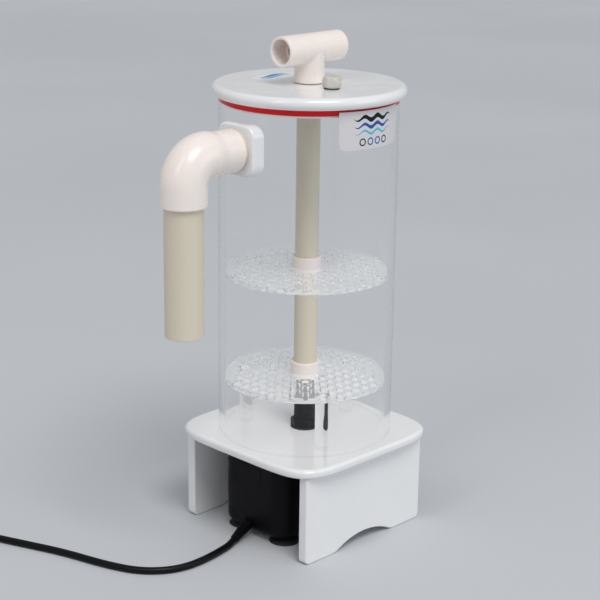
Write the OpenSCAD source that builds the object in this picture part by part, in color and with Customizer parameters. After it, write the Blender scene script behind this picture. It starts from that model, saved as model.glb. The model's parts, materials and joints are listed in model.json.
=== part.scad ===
// Recirculating aquarium media reactor: a clear column on a raised base, with a pump below it.
// Millimetres. The column's axis is the Z axis and the feet stand on z = 0.
// The outlet elbow is on the -X side and the open sides of the base face +X and -X.

/* [Base] */
// Width of the base plate across the middle of its sides
base_w = 167; // [164:1:170]
// Squareness of the base plate's bowed outline, where 2 is a circle
base_squareness = 5.7; // [5:0.1:7]
// Thickness of the base plate
base_t = 8; // [7:0.5:9]
// Height of the two leg plates
leg_h = 78; // [78:1:82]
// Thickness of each leg plate
leg_t = 9; // [8:0.5:10]
// Length of each leg plate
leg_len = 143; // [138:1:148]
// Distance between the outer faces of the leg plates
leg_span = 147; // [145:1:150]
// Height of the arch cut under each leg plate
arch_h = 9.5; // [8:0.5:12]
// Half the width of that arch
arch_half = 35; // [32:1:38]

/* [Column] */
// Outer diameter of the clear column
tube_d = 150; // [149:0.5:151]
// Wall of the clear column
tube_wall = 5; // [4.5:0.5:5]
// Length of the clear column
tube_len = 292; // [285:1:310]
// Diameter of the lid
lid_d = 162; // [160:1:166]
// Thickness of the lid
lid_t = 10; // [9:0.5:10]
// Section diameter of the lid's O-ring
lid_ring_d = 5; // [4.5:0.1:5]

/* [Riser] */
// Outer diameter of the riser pipe
pipe_d = 20; // [20]
// Bore of the riser pipe
pipe_bore = 16.4; // [16:0.2:17]
// Outer diameter of the two couplings
coupling_d = 25.4; // [25:0.1:26]
// Length of each coupling
coupling_len = 15.6; // [15:0.1:19]
// Height of the lower plate's top face
lower_plate_top = 137; // [135:1:139]
// Height of the upper plate's top face
upper_plate_top = 231; // [226:1:240]
// Diameter of the two perforated plates
plate_d = 138; // [136:0.5:138.5]
// Thickness of the two perforated plates
plate_t = 5; // [4:0.5:5]
// Distance between neighbouring holes in the plates
hole_pitch = 10; // [9.5:0.5:12]
// Diameter of those holes
hole_d = 6; // [5:0.5:6.5]

/* [Outlet] */
// Height of the outlet's centre line
outlet_z = 343; // [335:1:345]
// Outer diameter of the drop pipe
drop_d = 32; // [32]
// Outer diameter of the elbow's sockets
elbow_d = 38.4; // [37.6:0.2:39]
// Distance from the column's axis to the drop pipe's axis
drop_x = 138.6; // [136:0.2:142]
// Height of the drop pipe's lower end
drop_bottom = 199.4; // [190:0.2:220]
// Side of the square outlet flange
flange_w = 42; // [40:1:46]

/* [Tee] */
// Length of the tee's run
tee_len = 67; // [64:1:70]
// Outer diameter of the tee's run
tee_d = 25; // [24.6:0.1:25.6]
// Height of the tee's run above the lid
tee_rise = 28; // [27:0.5:30]

/* [Pump] */
// Half the width of the pump
pump_half_w = 38; // [36:1:39]
// Height of the rotor's axis
rotor_z = 38; // [37:0.5:39]
// Outer diameter of the pump's outlet nozzle
nozzle_d = 18.6; // [18:0.1:18.8]

/* [Lead] */
// Diameter of the mains lead
cord_d = 6; // [5.8:0.1:6.2]
// Radius of the outer turns of the stored coil
coil_r = 36; // [36:0.5:37]

/* [Hidden] */

fit = 0.05;                 // radial clearance of a joint that slides or turns
round_fn = 96;
small_fn = 48;

white = "#ECEBE9";
warm_white = "#E6E0D8";
pipe_beige = "#D2C6B4";
clear_blue = [0.78, 0.85, 0.88, 0.35];
pump_black = "#15151A";
seal_black = "#26262A";

// Heights up the column
base_top = leg_h + base_t;
column_top = base_top + tube_len;
lid_top = column_top + lid_t;
tee_z = lid_top + tee_rise;
tube_r = tube_d / 2;
bore_r = tube_r - tube_wall;
pipe_r = pipe_d / 2;
coupling_r = coupling_d / 2;
nozzle_r = nozzle_d / 2;

// The base plate and what stands on it
base_edge_r = 3;
pillar_d = 12;
pillar_ring_r = 54;
pillar_h = lower_plate_top - plate_t - base_top;
foot_corner_r = 5;
arch_blend_r = 15;

// The lid's plug holds its O-ring in a groove against the column's bore
plug_lip = 1.5;
plug_r = bore_r - 0.5;
groove_r = bore_r - lid_ring_d - 0.1;
plug_h = lid_ring_d + 0.4 + plug_lip;
plug_wall = 6;

// The couplings sit through the plates, and the nozzle enters the lower one
coupling_below_plate = 1;
nozzle_entry = 8;
pipe_entry = 8;
lower_coupling_z = lower_plate_top - plate_t - coupling_below_plate;
upper_coupling_z = upper_plate_top - plate_t - coupling_below_plate;
riser_bottom = lower_coupling_z + nozzle_entry + 1;
riser_top = upper_coupling_z + pipe_entry;
inlet_bottom = riser_top + 1;
inlet_top = lid_top + 14;

// The outlet
drop_r = drop_d / 2;
drop_bore_r = 13.8;
elbow_r = elbow_d / 2;
elbow_bend_r = 22;
elbow_mouth_x = -87;
elbow_mouth_z = outlet_z - 37.3;
// the limb towards the column tapers to a thinner neck
elbow_neck_r = 17.6;
elbow_taper = 12;
flange_face_x = -84;
flange_corner_r = 10;
stub_end_x = -108;
drop_top = elbow_mouth_z + 14;

// The label and the sticker are thin printed films
film_t = 0.3;
label_w = 67;
label_h = 31;
label_top = column_top - 2;
label_corner_r = 7;
// the label's middle lies this far round from -Y towards -X
label_turned = 1.7;
label_chord = 2 * (tube_r + film_t) * sin(label_w / (2 * tube_r) * 180 / PI);
sticker_w = 46;
sticker_d = 16;
sticker_y = 41;

// The bleed plug stands in front of the tee
bleed_x = -9;
bleed_y = -34;
bleed_r = 7.7;
bleed_stem_r = 4;
bleed_seal_t = 1.2;
bleed_h = 9;
bleed_chamfer = 1.7;
// the head stands with one corner this far round from +X
bleed_turned = 15;

// The tee
tee_r = tee_d / 2;
tee_socket_r = 10.1;
tee_socket_len = 16;
tee_branch_r = 13.3;
tee_branch_top_r = 12.4;
tee_gap = 0.6;

// The pump, from its motor at -X to its strainer at +X
pump_back = -64;
motor_front = -14;
volute_front = 16;
cover_front = 20;
pump_end = 62;
pump_bottom = 5;
pump_top = 77;
pump_corner_r = 15;
pump_edge_r = 7;
motor_wall = 4;
well_r = 13;
well_wall = 2;
well_back = -56;
bush_back = -57;
bush_r = 6;
chamber_r = 22;
chamber_back = -10;
outlet_bore_r = 7;
nozzle_foot = 66;
nut_r = 12.5;
nut_h = 7;
seal_outer = 19;
seal_inner = 16;
seal_groove = 2.4;
intake_r = 11;
hub_r = 4.5;
shaft_r = 2;
magnet_r = 12;
magnet_back = -52;
magnet_front = -16;
sleeve_r = 4;
impeller_r = 17;
impeller_vanes = 6;
screw_r = 1.5;
screw_y = 29;
screw_z = [16, 66];
strainer_wall = 2.5;
slot_w = 3;
slot_pitch = 7;
foot_r = 13.5;
foot_x = [-48, 2];
foot_y = 25;

// The stator: a laminated frame round the rotor well, with its coil on the upper bar
stator_back = -54;
stator_front = -24;
stator_half = 27;
stator_low = 20;
stator_high = 68;
yoke_low = 58;

// The lead leaves the motor, lies on the floor and is stored as a coil
cord_r = cord_d / 2;
relief_start = [-62, 4, 12.2];
relief_end = [-86, -2.5, 5.4];
relief_r = 5;
cord_route = [
    relief_end, [-95, -4.8, 3.4], [-104, -6.6, 3], [-119, -9, 3], [-134, -10, 3], [-147, -9, 3],
    [-158, -5.5, 3], [-168, 0.5, 3], [-176, 8, 3], [-183, 18, 3], [-188, 29, 3], [-193, 43, 3],
    [-197, 57, 3], [-201, 72, 3], [-206, 88, 3], [-212, 104, 3], [-219, 122, 3], [-226, 140, 3],
    [-232, 156, 3], [-237, 172, 3], [-239, 184, 3]
];
coil_centre = [-275, 184];
coil_rows = 3;
coil_inner_r = coil_r - (coil_rows - 1) * cord_d;
coil_layers = 2;
coil_h = coil_layers * cord_d;
tail_start = 60;
tail_end = 180;
tail_out_r = 61;
tail_steps = 24;
tail_high = coil_h - cord_r;
plug_axis_z = 7;
plug_width = 35;
plug_thick = 14;
plug_body_len = 34;
plug_neck_len = 16;
plug_neck_r = 5;
pin_r = 2;
pin_len = 19;
pin_spread = 9.3;

// ---- helpers ----

// A rounded square whose sides bow outwards, by the superellipse formula
function bowed_square(half, power, n = 96) = [
    for (i = [0:n - 1])
        let (c = cos(360 * i / n), s = sin(360 * i / n))
        half * [sign(c) * pow(abs(c), 2 / power), sign(s) * pow(abs(s), 2 / power)]
];

// Points of an arc from angle a to angle b
function arc(cx, cy, r, a, b, n = 12) = [
    for (i = [0:n]) let (t = a + (b - a) * i / n) [cx + r * cos(t), cy + r * sin(t)]
];

function unit(v) = v / norm(v);

// The direction of a path at point i
function heading(path, i) = unit(path[min(i + 1, len(path) - 1)] - path[max(i - 1, 0)]);

// A ring of points round a path's point, square to its heading
function ring_at(p, dir, r, sides) =
    let (side = unit(cross(dir, [0, 0, 1])), up = cross(side, dir))
    [for (k = [0:sides - 1]) p + r * (cos(360 * k / sides) * side + sin(360 * k / sides) * up)];

// A round cord swept along a path, closed at both ends
module swept_cord(path, r, sides = 10) {
    rings = len(path);
    points = [for (i = [0:rings - 1]) each ring_at(path[i], heading(path, i), r, sides)];
    walls = [
        for (i = [0:rings - 2]) for (k = [0:sides - 1])
            let (a = i * sides + k, b = i * sides + (k + 1) % sides)
            [b, a, a + sides, b + sides]
    ];
    start_cap = [for (k = [0:sides - 1]) k];
    end_cap = [for (k = [sides - 1:-1:0]) (rings - 1) * sides + k];
    polyhedron(points, concat(walls, [start_cap, end_cap]), convexity = 6);
}

module pipe(r_out, r_in, h, fn = small_fn) {
    difference() {
        cylinder(r = r_out, h = h, $fn = fn);
        translate([0, 0, -1]) cylinder(r = r_in, h = h + 2, $fn = fn);
    }
}

// Turns a shape built up +Z so that it runs along +X
module along_x(x, y = 0, z = 0) {
    translate([x, y, z]) rotate([0, 90, 0]) children();
}

module rod_x(x0, x1, r, y = 0, z = rotor_z, fn = small_fn) {
    along_x(x0, y, z) cylinder(r = r, h = x1 - x0, $fn = fn);
}

module rounded_rect(w, h, r) {
    hull() for (x = [-1, 1], y = [-1, 1])
        translate([x * (w / 2 - r), y * (h / 2 - r)]) circle(r = r, $fn = 32);
}

// ---- base ----

module base_slice(inset, z0, z1) {
    translate([0, 0, z0]) linear_extrude(z1 - z0)
        polygon(bowed_square(base_w / 2 - inset, base_squareness));
}

module base_plate() {
    mid = base_edge_r * (1 - cos(45));
    color(white) difference() {
        hull() {
            base_slice(0, leg_h + base_edge_r, base_top - base_edge_r);
            base_slice(mid, leg_h + mid, base_top - mid);
            base_slice(base_edge_r, leg_h, base_top);
        }
        translate([0, 0, leg_h - 1])
            cylinder(r = nozzle_r + 0.2, h = base_t + 2, $fn = small_fn);
    }
}

// Half of the arch's outline, from the floor up to the crown on the side given by s
function arch_half_outline(s) =
    let (
        big_r = (arch_half * arch_half + arch_h * arch_h) / (2 * arch_h),
        centre_z = arch_h - big_r,
        blend_x = sqrt(pow(big_r + arch_blend_r, 2) - pow(arch_blend_r - centre_z, 2)),
        tangent = atan2(arch_blend_r - centre_z, blend_x)
    )
    concat(
        [for (p = arc(blend_x, arch_blend_r, arch_blend_r, -90, tangent - 180, 6)) [s * p[0], p[1]]],
        [for (p = arc(0, centre_z, big_r, tangent, 90, 8)) [s * p[0], p[1]]]
    );

module leg(y_outer) {
    left = arch_half_outline(-1);
    right = arch_half_outline(1);
    half = leg_len / 2;
    outline = concat(
        arc(-half + foot_corner_r, foot_corner_r, foot_corner_r, 180, 270, 6),
        left,
        [for (i = [len(right) - 2:-1:0]) right[i]],
        arc(half - foot_corner_r, foot_corner_r, foot_corner_r, 270, 360, 6),
        [[half, leg_h], [-half, leg_h]]
    );
    translate([0, y_outer, 0]) rotate([90, 0, 0]) linear_extrude(leg_t) polygon(outline);
}

module front_leg() {
    color(white) leg(-leg_span / 2 + leg_t);
}

module rear_leg() {
    color(white) leg(leg_span / 2);
}

module pillar(i) {
    color(clear_blue) rotate([0, 0, 120 * (i - 1)]) translate([pillar_ring_r, 0, base_top])
        cylinder(d = pillar_d, h = pillar_h, $fn = small_fn);
}

// ---- column and lid ----

module column() {
    color(clear_blue) translate([0, 0, base_top]) difference() {
        pipe(tube_r, bore_r, tube_len, round_fn);
        along_x(-tube_r - 2, 0, outlet_z - base_top)
            cylinder(r = drop_r, h = 2 * tube_wall, $fn = small_fn);
    }
}

// A film bent round the front of the column
module column_label() {
    color("#F4F7F8") rotate(-label_turned) intersection() {
        translate([0, 0, label_top - label_h]) pipe(tube_r + film_t, tube_r, label_h, round_fn);
        translate([0, 0, label_top - label_h]) rotate([90, 0, 0]) linear_extrude(tube_d)
            polygon(concat(
                arc(-label_chord / 2 + label_corner_r, label_corner_r, label_corner_r, 180, 270, 6),
                arc(label_chord / 2 - label_corner_r, label_corner_r, label_corner_r, 270, 360, 6),
                [[label_chord / 2, label_h + 1], [-label_chord / 2, label_h + 1]]
            ));
    }
}

module lid() {
    edge = lid_t / 2;
    color(white) difference() {
        translate([0, 0, column_top]) rotate_extrude($fn = round_fn) polygon(concat(
            [[0, 0]],
            arc(lid_d / 2 - edge, edge, edge, -90, 90, 10),
            [[0, lid_t]]
        ));
        translate([0, 0, column_top - 1]) cylinder(r = pipe_r, h = lid_t + 2, $fn = small_fn);
        translate([bleed_x, bleed_y, column_top - 1])
            cylinder(r = bleed_stem_r + fit, h = lid_t + 2, $fn = small_fn);
    }
}

module lid_plug() {
    groove_h = lid_ring_d + 0.4;
    color(white) translate([0, 0, column_top - plug_h]) rotate_extrude($fn = round_fn) polygon([
        [groove_r - plug_wall, 0], [plug_r, 0], [plug_r, plug_lip], [groove_r, plug_lip],
        [groove_r, plug_lip + groove_h], [groove_r - plug_wall, plug_lip + groove_h]
    ]);
}

module lid_oring() {
    ring_r = lid_ring_d / 2;
    color("#B3121A") translate([0, 0, column_top - ring_r - 0.2]) rotate_extrude($fn = round_fn)
        translate([groove_r + ring_r, 0]) circle(r = ring_r, $fn = small_fn);
}

module lid_sticker() {
    color("#2F7FB8") translate([0, sticker_y, lid_top]) linear_extrude(film_t)
        polygon(concat(
            arc(-(sticker_w - sticker_d) / 2, 0, sticker_d / 2, 90, 270, 10),
            arc((sticker_w - sticker_d) / 2, 0, sticker_d / 2, -90, 90, 10)
        ));
}

module inlet_pipe() {
    color(warm_white) translate([0, 0, inlet_bottom]) pipe(pipe_r, pipe_bore / 2, inlet_top - inlet_bottom);
}

module inlet_tee() {
    run_bore_r = pipe_bore / 2;
    color(warm_white) difference() {
        union() {
            rod_x(-tee_len / 2, tee_len / 2, tee_r, 0, tee_z);
            translate([0, 0, lid_top + tee_gap]) cylinder(
                r1 = tee_branch_r, r2 = tee_branch_top_r, h = tee_rise - tee_gap, $fn = small_fn);
        }
        rod_x(-tee_len / 2 - 1, tee_len / 2 + 1, run_bore_r, 0, tee_z);
        rod_x(-tee_len / 2 - 1, -tee_len / 2 + tee_socket_len, tee_socket_r, 0, tee_z);
        rod_x(tee_len / 2 - tee_socket_len, tee_len / 2 + 1, tee_socket_r, 0, tee_z);
        translate([0, 0, lid_top - 1]) cylinder(r = run_bore_r, h = tee_rise, $fn = small_fn);
        translate([0, 0, lid_top - 1])
            cylinder(r = pipe_r + fit, h = inlet_top - lid_top + 1.5, $fn = small_fn);
    }
}

module bleed_seal() {
    color(seal_black) translate([bleed_x, bleed_y, lid_top])
        pipe(bleed_r - 1.2, bleed_stem_r + fit, bleed_seal_t);
}

module bleed_plug() {
    color([0.87, 0.86, 0.82, 0.6]) translate([bleed_x, bleed_y, 0]) {
        // the six flats of the head meet a chamfer at the top
        translate([0, 0, lid_top + bleed_seal_t]) intersection() {
            rotate(bleed_turned) cylinder(r = bleed_r, h = bleed_h, $fn = 6);
            rotate_extrude($fn = small_fn) polygon([
                [0, 0], [bleed_r + 1, 0], [bleed_r + 1, bleed_h - bleed_chamfer - 1],
                [bleed_r - bleed_chamfer, bleed_h], [0, bleed_h]
            ]);
        }
        translate([0, 0, column_top - 4])
            cylinder(r = bleed_stem_r, h = lid_t + 4 + bleed_seal_t, $fn = small_fn);
    }
}

// ---- riser and perforated plates ----

module riser_pipe() {
    color(pipe_beige) translate([0, 0, riser_bottom]) pipe(pipe_r, pipe_bore / 2, riser_top - riser_bottom);
}

// The lower part of this coupling slides on the pump's nozzle
module lower_coupling() {
    color(warm_white) translate([0, 0, lower_coupling_z]) difference() {
        cylinder(r = coupling_r, h = coupling_len, $fn = small_fn);
        translate([0, 0, -1]) cylinder(r = nozzle_r + fit, h = nozzle_entry + 2, $fn = small_fn);
        translate([0, 0, nozzle_entry + 1]) cylinder(r = pipe_r, h = coupling_len, $fn = small_fn);
    }
}

// The inlet pipe slides into the upper part of this coupling
module upper_coupling() {
    color(warm_white) translate([0, 0, upper_coupling_z]) difference() {
        cylinder(r = coupling_r, h = coupling_len, $fn = small_fn);
        translate([0, 0, -1]) cylinder(r = pipe_r, h = pipe_entry + 1, $fn = small_fn);
        translate([0, 0, pipe_entry - 1]) cylinder(r = pipe_bore / 2, h = 3, $fn = small_fn);
        translate([0, 0, pipe_entry + 1]) cylinder(r = pipe_r + fit, h = coupling_len, $fn = small_fn);
    }
}

module perforated_plate(top) {
    steps = floor(plate_d / 2 / hole_pitch);
    outer_limit = plate_d / 2 - hole_d / 2 - 2;
    inner_limit = coupling_r + hole_d / 2 + 1;
    color(clear_blue) translate([0, 0, top - plate_t]) difference() {
        cylinder(d = plate_d, h = plate_t, $fn = round_fn);
        translate([0, 0, -1]) cylinder(r = coupling_r, h = plate_t + 2, $fn = small_fn);
        for (i = [-steps:steps], j = [-steps:steps])
            let (p = [i * hole_pitch, j * hole_pitch])
            if (norm(p) < outer_limit && norm(p) > inner_limit)
                translate([p[0], p[1], -1]) cylinder(d = hole_d, h = plate_t + 2, $fn = 24);
    }
}

module lower_plate() {
    perforated_plate(lower_plate_top);
}

module upper_plate() {
    perforated_plate(upper_plate_top);
}

// ---- outlet ----

// The flange is a square block that is hollowed to sit on the column
module outlet_flange() {
    color(white) difference() {
        along_x(flange_face_x, 0, outlet_z) rotate([0, 0, 90])
            linear_extrude(-flange_face_x - bore_r) rounded_rect(flange_w, flange_w, flange_corner_r);
        translate([0, 0, outlet_z - flange_w]) cylinder(r = tube_r, h = 2 * flange_w, $fn = round_fn);
        rod_x(flange_face_x - 1, -bore_r, drop_r, 0, outlet_z);
    }
}

module outlet_stub() {
    color(pipe_beige) along_x(stub_end_x, 0, outlet_z) pipe(drop_r, drop_bore_r, -bore_r - 0.6 - stub_end_x);
}

// The elbow's two round limbs and its bend, as a solid of radius r that tapers to neck_r by the column
module elbow_solid(r, neck_r, over) {
    translate([-drop_x, 0, elbow_mouth_z - over])
        cylinder(r = r, h = outlet_z - elbow_bend_r - elbow_mouth_z + over, $fn = small_fn);
    translate([-drop_x + elbow_bend_r, 0, outlet_z]) rotate([0, 90, 0])
        cylinder(r1 = r, r2 = neck_r, h = elbow_taper, $fn = small_fn);
    rod_x(-drop_x + elbow_bend_r + elbow_taper, elbow_mouth_x + over, neck_r, 0, outlet_z);
    translate([-drop_x + elbow_bend_r, 0, outlet_z - elbow_bend_r]) rotate([90, 0, 0])
        rotate([0, 0, 90]) rotate_extrude(angle = 90, $fn = round_fn)
            translate([elbow_bend_r, 0]) circle(r = r, $fn = small_fn);
}

module outlet_elbow() {
    color(warm_white) difference() {
        elbow_solid(elbow_r, elbow_neck_r, 0);
        elbow_solid(drop_bore_r, drop_bore_r, 1);
        rod_x(stub_end_x - 1, elbow_mouth_x + 1, drop_r + fit, 0, outlet_z);
        translate([-drop_x, 0, elbow_mouth_z - 1])
            cylinder(r = drop_r, h = drop_top - elbow_mouth_z + 1, $fn = small_fn);
    }
}

module drop_pipe() {
    color(pipe_beige) translate([-drop_x, 0, drop_bottom]) pipe(drop_r, drop_bore_r, drop_top - drop_bottom);
}

// ---- pump ----

// The pump's outer form, with rounded corners and a rounded lower edge, pulled in by inset
module pump_form(inset = 0) {
    z_low = pump_bottom + inset;
    z_high = pump_top - inset;
    slices = [for (t = [0, 45, 90]) [z_low + pump_edge_r * (1 - sin(t)), pump_edge_r * (1 - cos(t))]];
    r = pump_corner_r - inset;
    hull() for (x = [pump_back + pump_corner_r, pump_end - pump_corner_r], y = [-1, 1])
        translate([x, y * (pump_half_w - pump_corner_r), 0]) for (s = slices)
            translate([0, 0, s[0]]) cylinder(r = r - s[1], h = z_high - s[0], $fn = 32);
}

module pump_section(x0, x1, inset = 0) {
    intersection() {
        pump_form(inset);
        translate([x0, -60, 0]) cube([x1 - x0, 120, 90]);
    }
}

// A slice of the space inside the motor housing, from x0 to x1
module motor_space(x0, x1) {
    half = pump_half_w - motor_wall - 2;
    low = pump_bottom + pump_edge_r;
    translate([x0, -half, low]) cube([x1 - x0, 2 * half, pump_top - motor_wall - low]);
}

module motor_housing() {
    color(pump_black) difference() {
        pump_section(pump_back, motor_front);
        motor_space(pump_back + motor_wall, motor_front + 1);
    }
}

module rotor_well() {
    color("#2A2A30") difference() {
        union() {
            motor_space(motor_front - 4, motor_front);
            rod_x(pump_back + motor_wall, motor_front, well_r + well_wall);
        }
        rod_x(well_back, motor_front + 1, well_r);
        rod_x(bush_back, well_back + 1, bush_r);
    }
}

module stator_core() {
    color("#7C7F84") difference() {
        translate([stator_back, -stator_half, stator_low])
            cube([stator_front - stator_back, 2 * stator_half, stator_high - stator_low]);
        rod_x(stator_back - 1, stator_front + 1, well_r + well_wall);
        // the window between the legs, below the upper bar
        translate([stator_back - 1, -11, rotor_z])
            cube([stator_front - stator_back + 2, 22, yoke_low - rotor_z]);
        translate([stator_back - 1, -4, 0])
            cube([stator_front - stator_back + 2, 8, rotor_z]);
    }
}

module stator_coil() {
    wrap = 3;
    color("#A9622B") translate([0, -10.5, 0]) difference() {
        translate([stator_back - wrap, 0, yoke_low - wrap])
            cube([stator_front - stator_back + 2 * wrap, 21, stator_high - yoke_low + 2 * wrap]);
        translate([stator_back, -1, yoke_low])
            cube([stator_front - stator_back, 23, stator_high - yoke_low]);
    }
}

module volute() {
    color(pump_black) difference() {
        pump_section(motor_front, volute_front);
        rod_x(chamber_back, volute_front + 1, chamber_r);
        rod_x(motor_front - 1, chamber_back + 1, well_r);
        along_x(motor_front - 1, 0, rotor_z) pipe(seal_outer, seal_inner, 1 + seal_groove);
        translate([0, 0, rotor_z]) cylinder(r = outlet_bore_r, h = 60, $fn = small_fn);
        translate([0, 0, nozzle_foot]) cylinder(r = nozzle_r, h = 60, $fn = small_fn);
        screw_holes();
    }
}

module screw_holes() {
    for (y = [-1, 1], z = screw_z)
        rod_x(volute_front - 10, cover_front + 1, screw_r, y * screw_y, z, 24);
}

module volute_seal() {
    color(seal_black) along_x(motor_front + seal_groove / 2, 0, rotor_z) rotate_extrude($fn = small_fn)
        translate([(seal_outer + seal_inner) / 2, 0]) circle(d = seal_groove, $fn = 24);
}

module front_cover() {
    color(pump_black) difference() {
        union() {
            difference() {
                pump_section(volute_front, cover_front);
                rod_x(volute_front - 1, cover_front + 1, intake_r);
            }
            rod_x(volute_front, cover_front, hub_r + 1.5);
            for (a = [0, 120, 240]) translate([volute_front, 0, rotor_z]) rotate([a, 0, 0])
                translate([0, -1.25, hub_r]) cube([cover_front - volute_front, 2.5, intake_r - hub_r + 1]);
        }
        rod_x(volute_front - 1, cover_front + 1, hub_r - 1);
        screw_holes();
    }
}

module cover_screws() {
    color("#B9BCC0") for (y = [-1, 1], z = screw_z) {
        rod_x(volute_front - 8, cover_front, screw_r, y * screw_y, z, 24);
        difference() {
            rod_x(cover_front, cover_front + 2, 2 * screw_r, y * screw_y, z, 24);
            translate([cover_front + 1, y * screw_y - 2, z - 0.4]) cube([2, 4, 0.8]);
            translate([cover_front + 1, y * screw_y - 0.4, z - 2]) cube([2, 0.8, 4]);
        }
    }
}

// The cage has vertical slots along its sides and its end
module strainer() {
    x0 = cover_front + 0.3;
    low = pump_bottom + 12;
    high = pump_top - 10;
    side_slots = 5;
    end_slots = 3;
    color(pump_black) difference() {
        pump_section(x0, pump_end);
        intersection() {
            pump_form(strainer_wall);
            translate([x0 - 1, -60, 0]) cube([90, 120, 90]);
        }
        for (i = [0:side_slots - 1])
            translate([x0 + 4 + i * slot_pitch, -60, low]) cube([slot_w, 120, high - low]);
        for (i = [-end_slots:end_slots])
            translate([pump_end - 8, i * slot_pitch - slot_w / 2, low]) cube([20, slot_w, high - low]);
    }
}

module impeller() {
    hub_front = 12;
    color("#D9DBDD") difference() {
        union() {
            rod_x(magnet_back, hub_front, sleeve_r);
            rod_x(magnet_front, -8, sleeve_r + 3);
            rod_x(-8, -6, impeller_r);
            for (i = [0:impeller_vanes - 1]) translate([-6, 0, rotor_z])
                rotate([360 * i / impeller_vanes, 0, 0])
                    translate([0, -0.75, sleeve_r - 1]) cube([13, 1.5, impeller_r - sleeve_r]);
        }
        rod_x(magnet_back - 1, hub_front + 1, shaft_r + fit);
    }
}

module rotor_magnet() {
    color("#3B3F45") along_x(magnet_back, 0, rotor_z) pipe(magnet_r, sleeve_r, magnet_front - magnet_back);
}

module rotor_shaft() {
    color("#F1EFEA") rod_x(bush_back + 0.5, volute_front + 3, shaft_r);
}

module rear_bush() {
    color(seal_black) difference() {
        rod_x(bush_back, bush_back + 3.5, bush_r);
        rod_x(bush_back + 0.5, bush_back + 5, shaft_r);
    }
}

module front_bush() {
    color(seal_black) difference() {
        rod_x(volute_front, cover_front, hub_r - 1);
        rod_x(volute_front - 1, volute_front + 3, shaft_r);
    }
}

module pump_nozzle() {
    color(pump_black) translate([0, 0, nozzle_foot])
        pipe(nozzle_r, outlet_bore_r, lower_coupling_z + nozzle_entry - nozzle_foot);
}

module nozzle_gasket() {
    color(seal_black) translate([0, 0, pump_top]) pipe(14, nozzle_r, leg_h - pump_top);
}

module nozzle_washer() {
    color(seal_black) translate([0, 0, base_top]) pipe(12, nozzle_r, 1);
}

module nozzle_nut() {
    color(pump_black) translate([0, 0, base_top + 1]) difference() {
        cylinder(r = nut_r, h = nut_h, $fn = 6);
        translate([0, 0, -1]) cylinder(r = nozzle_r, h = nut_h + 2, $fn = small_fn);
    }
}

// A suction cup under the pump, with its hollow facing the floor
module pump_foot(i) {
    cup = [[0, 2], [foot_r - 4, 1], [foot_r - 1, 0], [foot_r, 0], [foot_r, 1.2],
           [foot_r - 3.5, 4], [4, pump_bottom], [0, pump_bottom]];
    color(seal_black) translate([foot_x[floor(i / 2)], (i % 2 * 2 - 1) * foot_y, 0])
        rotate_extrude($fn = small_fn) polygon(cup);
}

// ---- lead ----

module cord_relief() {
    length = norm(relief_end - relief_start);
    dir = unit(relief_end - relief_start);
    color(pump_black) intersection() {
        translate(relief_start) rotate([0, acos(dir[2]), atan2(dir[1], dir[0])])
            cylinder(r1 = relief_r, r2 = cord_r + 0.4, h = length, $fn = small_fn);
        translate([-150, -50, 0]) cube([150 + pump_back, 100, 50]);
    }
}

module power_cord() {
    color(pump_black) swept_cord(cord_route, cord_r);
}

module cord_coil() {
    color(pump_black) translate([coil_centre[0], coil_centre[1], 0]) rotate_extrude($fn = round_fn)
        translate([coil_inner_r - cord_r, 0]) square([coil_rows * cord_d, coil_h]);
}

// The lead's last stretch comes off the top of the coil and runs down to the plug
function tail_point(t) =
    let (
        a = tail_start + (tail_end - tail_start) * t,
        ease = t * t * (3 - 2 * t),
        r = coil_r + (tail_out_r - coil_r) * ease
    )
    [coil_centre[0] + r * cos(a), coil_centre[1] + r * sin(a),
     tail_high + (plug_axis_z - tail_high) * ease];

module cord_tail() {
    color(pump_black) swept_cord([for (i = [0:tail_steps]) tail_point(i / tail_steps)], cord_r);
}

// The plug lies flat with its neck at the tail's end and its pins towards -Y
module at_plug() {
    translate([coil_centre[0] - tail_out_r, coil_centre[1], plug_axis_z]) children();
}

module mains_plug() {
    neck_w = 18;
    color(pump_black) at_plug() {
        rotate([90, 0, 0]) cylinder(r1 = cord_r + 0.6, r2 = plug_neck_r, h = plug_neck_len, $fn = small_fn);
        translate([0, -plug_neck_len, -plug_thick / 2]) linear_extrude(plug_thick) polygon([
            [-neck_w / 2, 0], [-plug_width / 2, -10], [-plug_width / 2, -plug_body_len],
            [plug_width / 2, -plug_body_len], [plug_width / 2, -10], [neck_w / 2, 0]
        ]);
    }
}

module plug_pins() {
    color("#C9CBCE") at_plug() for (s = [-1, 1])
        translate([s * pin_spread, -plug_neck_len - plug_body_len, 0]) rotate([90, 0, 0])
            cylinder(r = pin_r, h = pin_len, $fn = 24);
}

base_plate();
front_leg();
rear_leg();
column();
column_label();
pillar(1);  // pillar_1
pillar(2);  // pillar_2
pillar(3);  // pillar_3
outlet_flange();
outlet_stub();
outlet_elbow();
drop_pipe();
lid();
lid_plug();
lid_oring();
lid_sticker();
inlet_pipe();
inlet_tee();
bleed_seal();
bleed_plug();
riser_pipe();
lower_coupling();
upper_coupling();
lower_plate();
upper_plate();
motor_housing();
rotor_well();
stator_core();
stator_coil();
volute();
volute_seal();
front_cover();
cover_screws();
strainer();
impeller();
rotor_magnet();
rotor_shaft();
rear_bush();
front_bush();
pump_nozzle();
nozzle_gasket();
nozzle_washer();
nozzle_nut();
pump_foot(0);  // pump_foot_1
pump_foot(1);  // pump_foot_2
pump_foot(2);  // pump_foot_3
pump_foot(3);  // pump_foot_4
cord_relief();
power_cord();
cord_coil();
cord_tail();
mains_plug();
plug_pins();
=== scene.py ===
"""Looks for a recirculating media reactor: a clear column on a raised base, with its pump and mains lead.

Lengths are metres. Sizes that the CAD frame knows are measured from its nodes.
"""

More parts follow.
